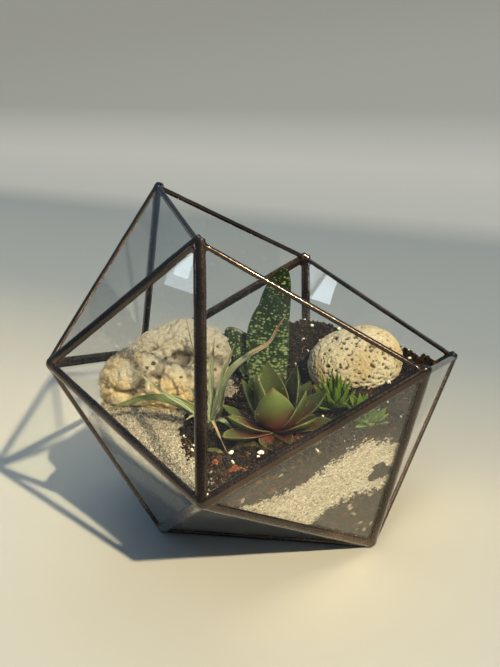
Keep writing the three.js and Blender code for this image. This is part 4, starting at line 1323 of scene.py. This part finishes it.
# %% Coir fibres
def fibre_tree():
    """Strews thin arched strands, tilted so that most of them stick up at one end."""
    tree, given, result = node_tree("coir_fibres", [
        ("Per Square Metre", "NodeSocketFloat", 30000.0), ("Length", "NodeSocketFloat", 7 * MM),
        ("Seed", "NodeSocketInt", 1), ("Material", "NodeSocketMaterial", None),
    ])
    toned, _ = sown_points(tree, given, 5)
    bend = add(tree, "GeometryNodeCurveQuadraticBezier", {
        "Resolution": 5, "Start": (-0.5, 0, 0), "Middle": (0, 0.1, 0.45), "End": (0.5, 0, 0)})
    ring = add(tree, "GeometryNodeCurvePrimitiveCircle", {"Resolution": 4, "Radius": 0.025})
    strand = add(tree, "GeometryNodeCurveToMesh", {0: bend, 1: ring, "Fill Caps": True})
    share = add(tree, "FunctionNodeRandomValue", {2: 0.5, 3: 1.3, "Seed": 9},
                data_type="FLOAT")
    length = add(tree, "ShaderNodeMath", {0: share.outputs[1], 1: given.outputs["Length"]},
                 operation="MULTIPLY")
    return set_out(tree, given, result, toned, strand, (-1.1, -0.9, 0), (1.1, 0.9, TURN),
                   length)


COIR = bit_finish("dry_coir_fibre", [(0.0, "#170e08"), (0.5, "#2c1b10"), (0.85, "#4c301b"),
                                     (1.0, "#7a5735")], 0.8)
fibres = in_scene("coir_fibres", ground.data.copy())
note(fibres, "patch", in_soil * clear_of_glass(places, 4)
     * np.clip(0.6 + 0.8 * lumps(places, 16, 41), 0.15, 1))
run_tree(fibres, fibre_tree(), {"Per Square Metre": 45000.0, "Material": COIR})
dressed(fibres, COIR, "bark")


# %% [markdown]
# ## Bark, perlite and fallen leaves
# A few larger bits lie in front, where the soil is open to view: two chips of orange bark, two
# lumps of perlite and four wilted leaves shed by the houseleek.

# %% Chips and lumps
def chip(name, node, size, pitch, rise, seed):
    """A CAD chip with its faces broken up."""
    made = remeshed(merged_copy(name, node), size, smoothing=1)
    places = points_of(made)
    places += normals_of(made) * (rise * lumps(places * (1, 1, 1.6), pitch, seed))[:, None]
    move_points(made, places)
    note(made, "tone", 0.5 + 0.5 * lumps(places, pitch, seed + 1))
    return made


BARK = bit_finish("orange_pine_bark", [(0.0, "#2e160b"), (0.35, "#5e2d14"), (0.7, "#87481f"),
                                       (1.0, "#ad6f3c")], 0.8)
for k in (1, 2):
    dressed(chip(f"bark_flake_{k}", f"bark_chip_{k}", 0.32, 1.4, 0.5, 50 + k), BARK, "bark",
            f"bark_chip_{k}")
    dressed(chip(f"perlite_lump_{k}", f"perlite_{k}", 0.22, 0.9, 0.4, 60 + k), PERLITE,
            "perlite", f"perlite_{k}")

# %% Wilted leaves
WILTED = [  # start, end, width
    ((-36, -37), (-26, -49), 7), ((-28, -52), (-18, -63), 6), ((1, -69), (8, -82), 6),
    ((-44, -52), (-37, -60), 4),
]


def fallen(start, end, width):
    """A shed leaf that lies on the ground, its middle a little arched."""
    start, end = np.array(start, float), np.array(end, float)
    spine = bezier(ground_point(*start, 1.3), ground_point(*(start + end) / 2, 3.6),
                   ground_point(*end, 1.4))
    return leaf(spine, to_the_right(unit(end - start)), width, 1.0, spoon,
                lens_section(0.15, 0.5, 14), cup=-0.25, steps=18)


wilted = foliage("wilted_leaves", [fallen(*row) for row in WILTED])
dressed(wilted, leaf_finish("wilted_houseleek_leaf", [
    (0.0, "#3a2916"), (0.4, "#41431c"), (0.8, "#4b4a22"), (1.0, "#5c4526")], "#66603a", 0.9,
    rough=0.65), "houseleek_leaf")

# %% [markdown]
# ## Table and light
# The stage is a pale table top and nothing else. Its colour holds painted shade: pale in front of
# the case, darker and bluer behind it where the light would fall off, then a lighter band that
# stands in for a far wall. A warm lamp to the right of the camera stands in for sunlight. It is
# three times as wide as the sun, so that shadows have soft edges, and a cool, dim sky fills them.
# Bright panels stand in for what a room would mirror in glass and metal: a cool window, a skylight
# and a warm wall.

# %% Table
# the painted shade on the table deepens along this direction, towards the back
PAINTED_SHADE_DIRECTION = (0.776, 0.63, 0)  # the level direction in which the table's tone changes
SPAN = 20000  # half the width of the table, whose end is the horizon


def table_top_with_painted_shade():
    """Matt paint with painted shade: paler at the front, darker and bluer behind the case."""
    made, tree, output = new_material("matt_pale_table")
    place = add(tree, "ShaderNodeTexCoord").outputs["Object"]
    back = add(tree, "ShaderNodeVectorMath", {0: place, 1: PAINTED_SHADE_DIRECTION},
               operation="DOT_PRODUCT").outputs["Value"]
    # painted shade: pale in front, darker and bluer behind the case, then a lighter band for a far
    # wall
    tone = add(tree, "ShaderNodeValToRGB", {
        0: add(tree, "ShaderNodeMapRange", {"Value": back, "From Min": -0.1, "From Max": 1.1})},
        stops=[(0.0, "#c6c4c0"), (0.12, "#bcbab6"), (0.28, "#8c939b"), (0.47, "#7f8790"),
               (0.53, "#9da1a8"), (0.7, "#a4a7ae"), (1.0, "#8b8f95")])
    paint = add(tree, "ShaderNodeBsdfPrincipled", {
        "Base Color": tone, "Roughness": 0.7, "Specular IOR Level": 0.25})
    tree.links.new(paint.outputs[0], output.inputs["Surface"])
    return made


table = piece("table", [(-SPAN, -SPAN, 0), (SPAN, -SPAN, 0), (SPAN, SPAN, 0), (-SPAN, SPAN, 0)],
              [(0, 1, 2, 3)], table_top_with_painted_shade(), smooth=False)

# %% Lamp and panels
TO_LAMP = Vector((0.292, -0.702, 0.649))
LAMP_WIDTH = math.radians(1.6)
WARM, COOL, WALL = (1, 0.85, 0.53), (0.8, 0.92, 1.0), (1.0, 0.82, 0.65)
PANEL_AIM = Vector((0, 0, 0.12))  # every panel faces a point inside the case
PANELS = [  # name, place, width and height in metres, power in watts, colour
    ("cool_window", (-2.5, 0.02, 0.68), 0.22, 0.14, 0.6, COOL),
    ("cool_pane", (-2.5, 0.165, 0.645), 0.09, 0.13, 0.1, COOL),
    ("cool_pane_middle", (-2.49, 0.17, 0.655), 0.045, 0.08, 0.035, COOL),
    ("cool_skylight", (0.8, 1.25, 2.15), 1.6, 1.0, 11.0, COOL),
    ("warm_wall", (2.2, -1.95, 0.75), 0.8, 1.2, 5.0, WALL),
]


def lit(name, kind, power, colour, towards):
    """A lamp of the given kind, shining from the direction that is given."""
    data = bpy.data.lights.new(name, kind)
    data.energy = power
    data.color = colour
    made = in_scene(name, data)
    made.rotation_mode = "QUATERNION"
    made.rotation_quaternion = towards.to_track_quat("Z", "Y")
    return made


lamp = lit("warm_lamp", "SUN", 5.1, WARM, TO_LAMP)
lamp.data.angle = LAMP_WIDTH
for name, place, wide, high, power, colour in PANELS:
    panel = lit(name, "AREA", power, colour, Vector(place) - PANEL_AIM)
    panel.location = place
    panel.data.shape = "RECTANGLE"
    panel.data.size, panel.data.size_y = wide, high
print("light from a warm lamp and", len(PANELS), "panels")

# %% Sky
sky = bpy.data.worlds.new("cool_sky")
bpy.context.scene.world = sky
sky.use_nodes = True
tree = sky.node_tree
backdrop = tree.nodes["Background"]
# looked at straight, past the end of the table, the sky is a plain pale wall
straight = add(tree, "ShaderNodeLightPath").outputs["Is Camera Ray"]
tint = add(tree, "ShaderNodeMix", {0: straight, 6: (0.47, 0.73, 1.0, 1),
                                   7: (0.5, 0.51, 0.49, 1)}, data_type="RGBA")
tree.links.new(tint.outputs[2], backdrop.inputs["Color"])
ahead = add(tree, "ShaderNodeTexCoord").outputs["Generated"]
rise = add(tree, "ShaderNodeSeparateXYZ", {0: ahead}).outputs["Z"]
strength = add(tree, "ShaderNodeMapRange", {"Value": rise, "From Min": 0.1, "From Max": 0.7,
                                            "To Min": 0.1, "To Max": 0.34})
strength = add(tree, "ShaderNodeMix", {0: straight, 2: strength, 3: 1.0})
tree.links.new(strength.outputs[0], backdrop.inputs["Strength"])
bpy.context.scene.view_settings.view_transform = "Standard"
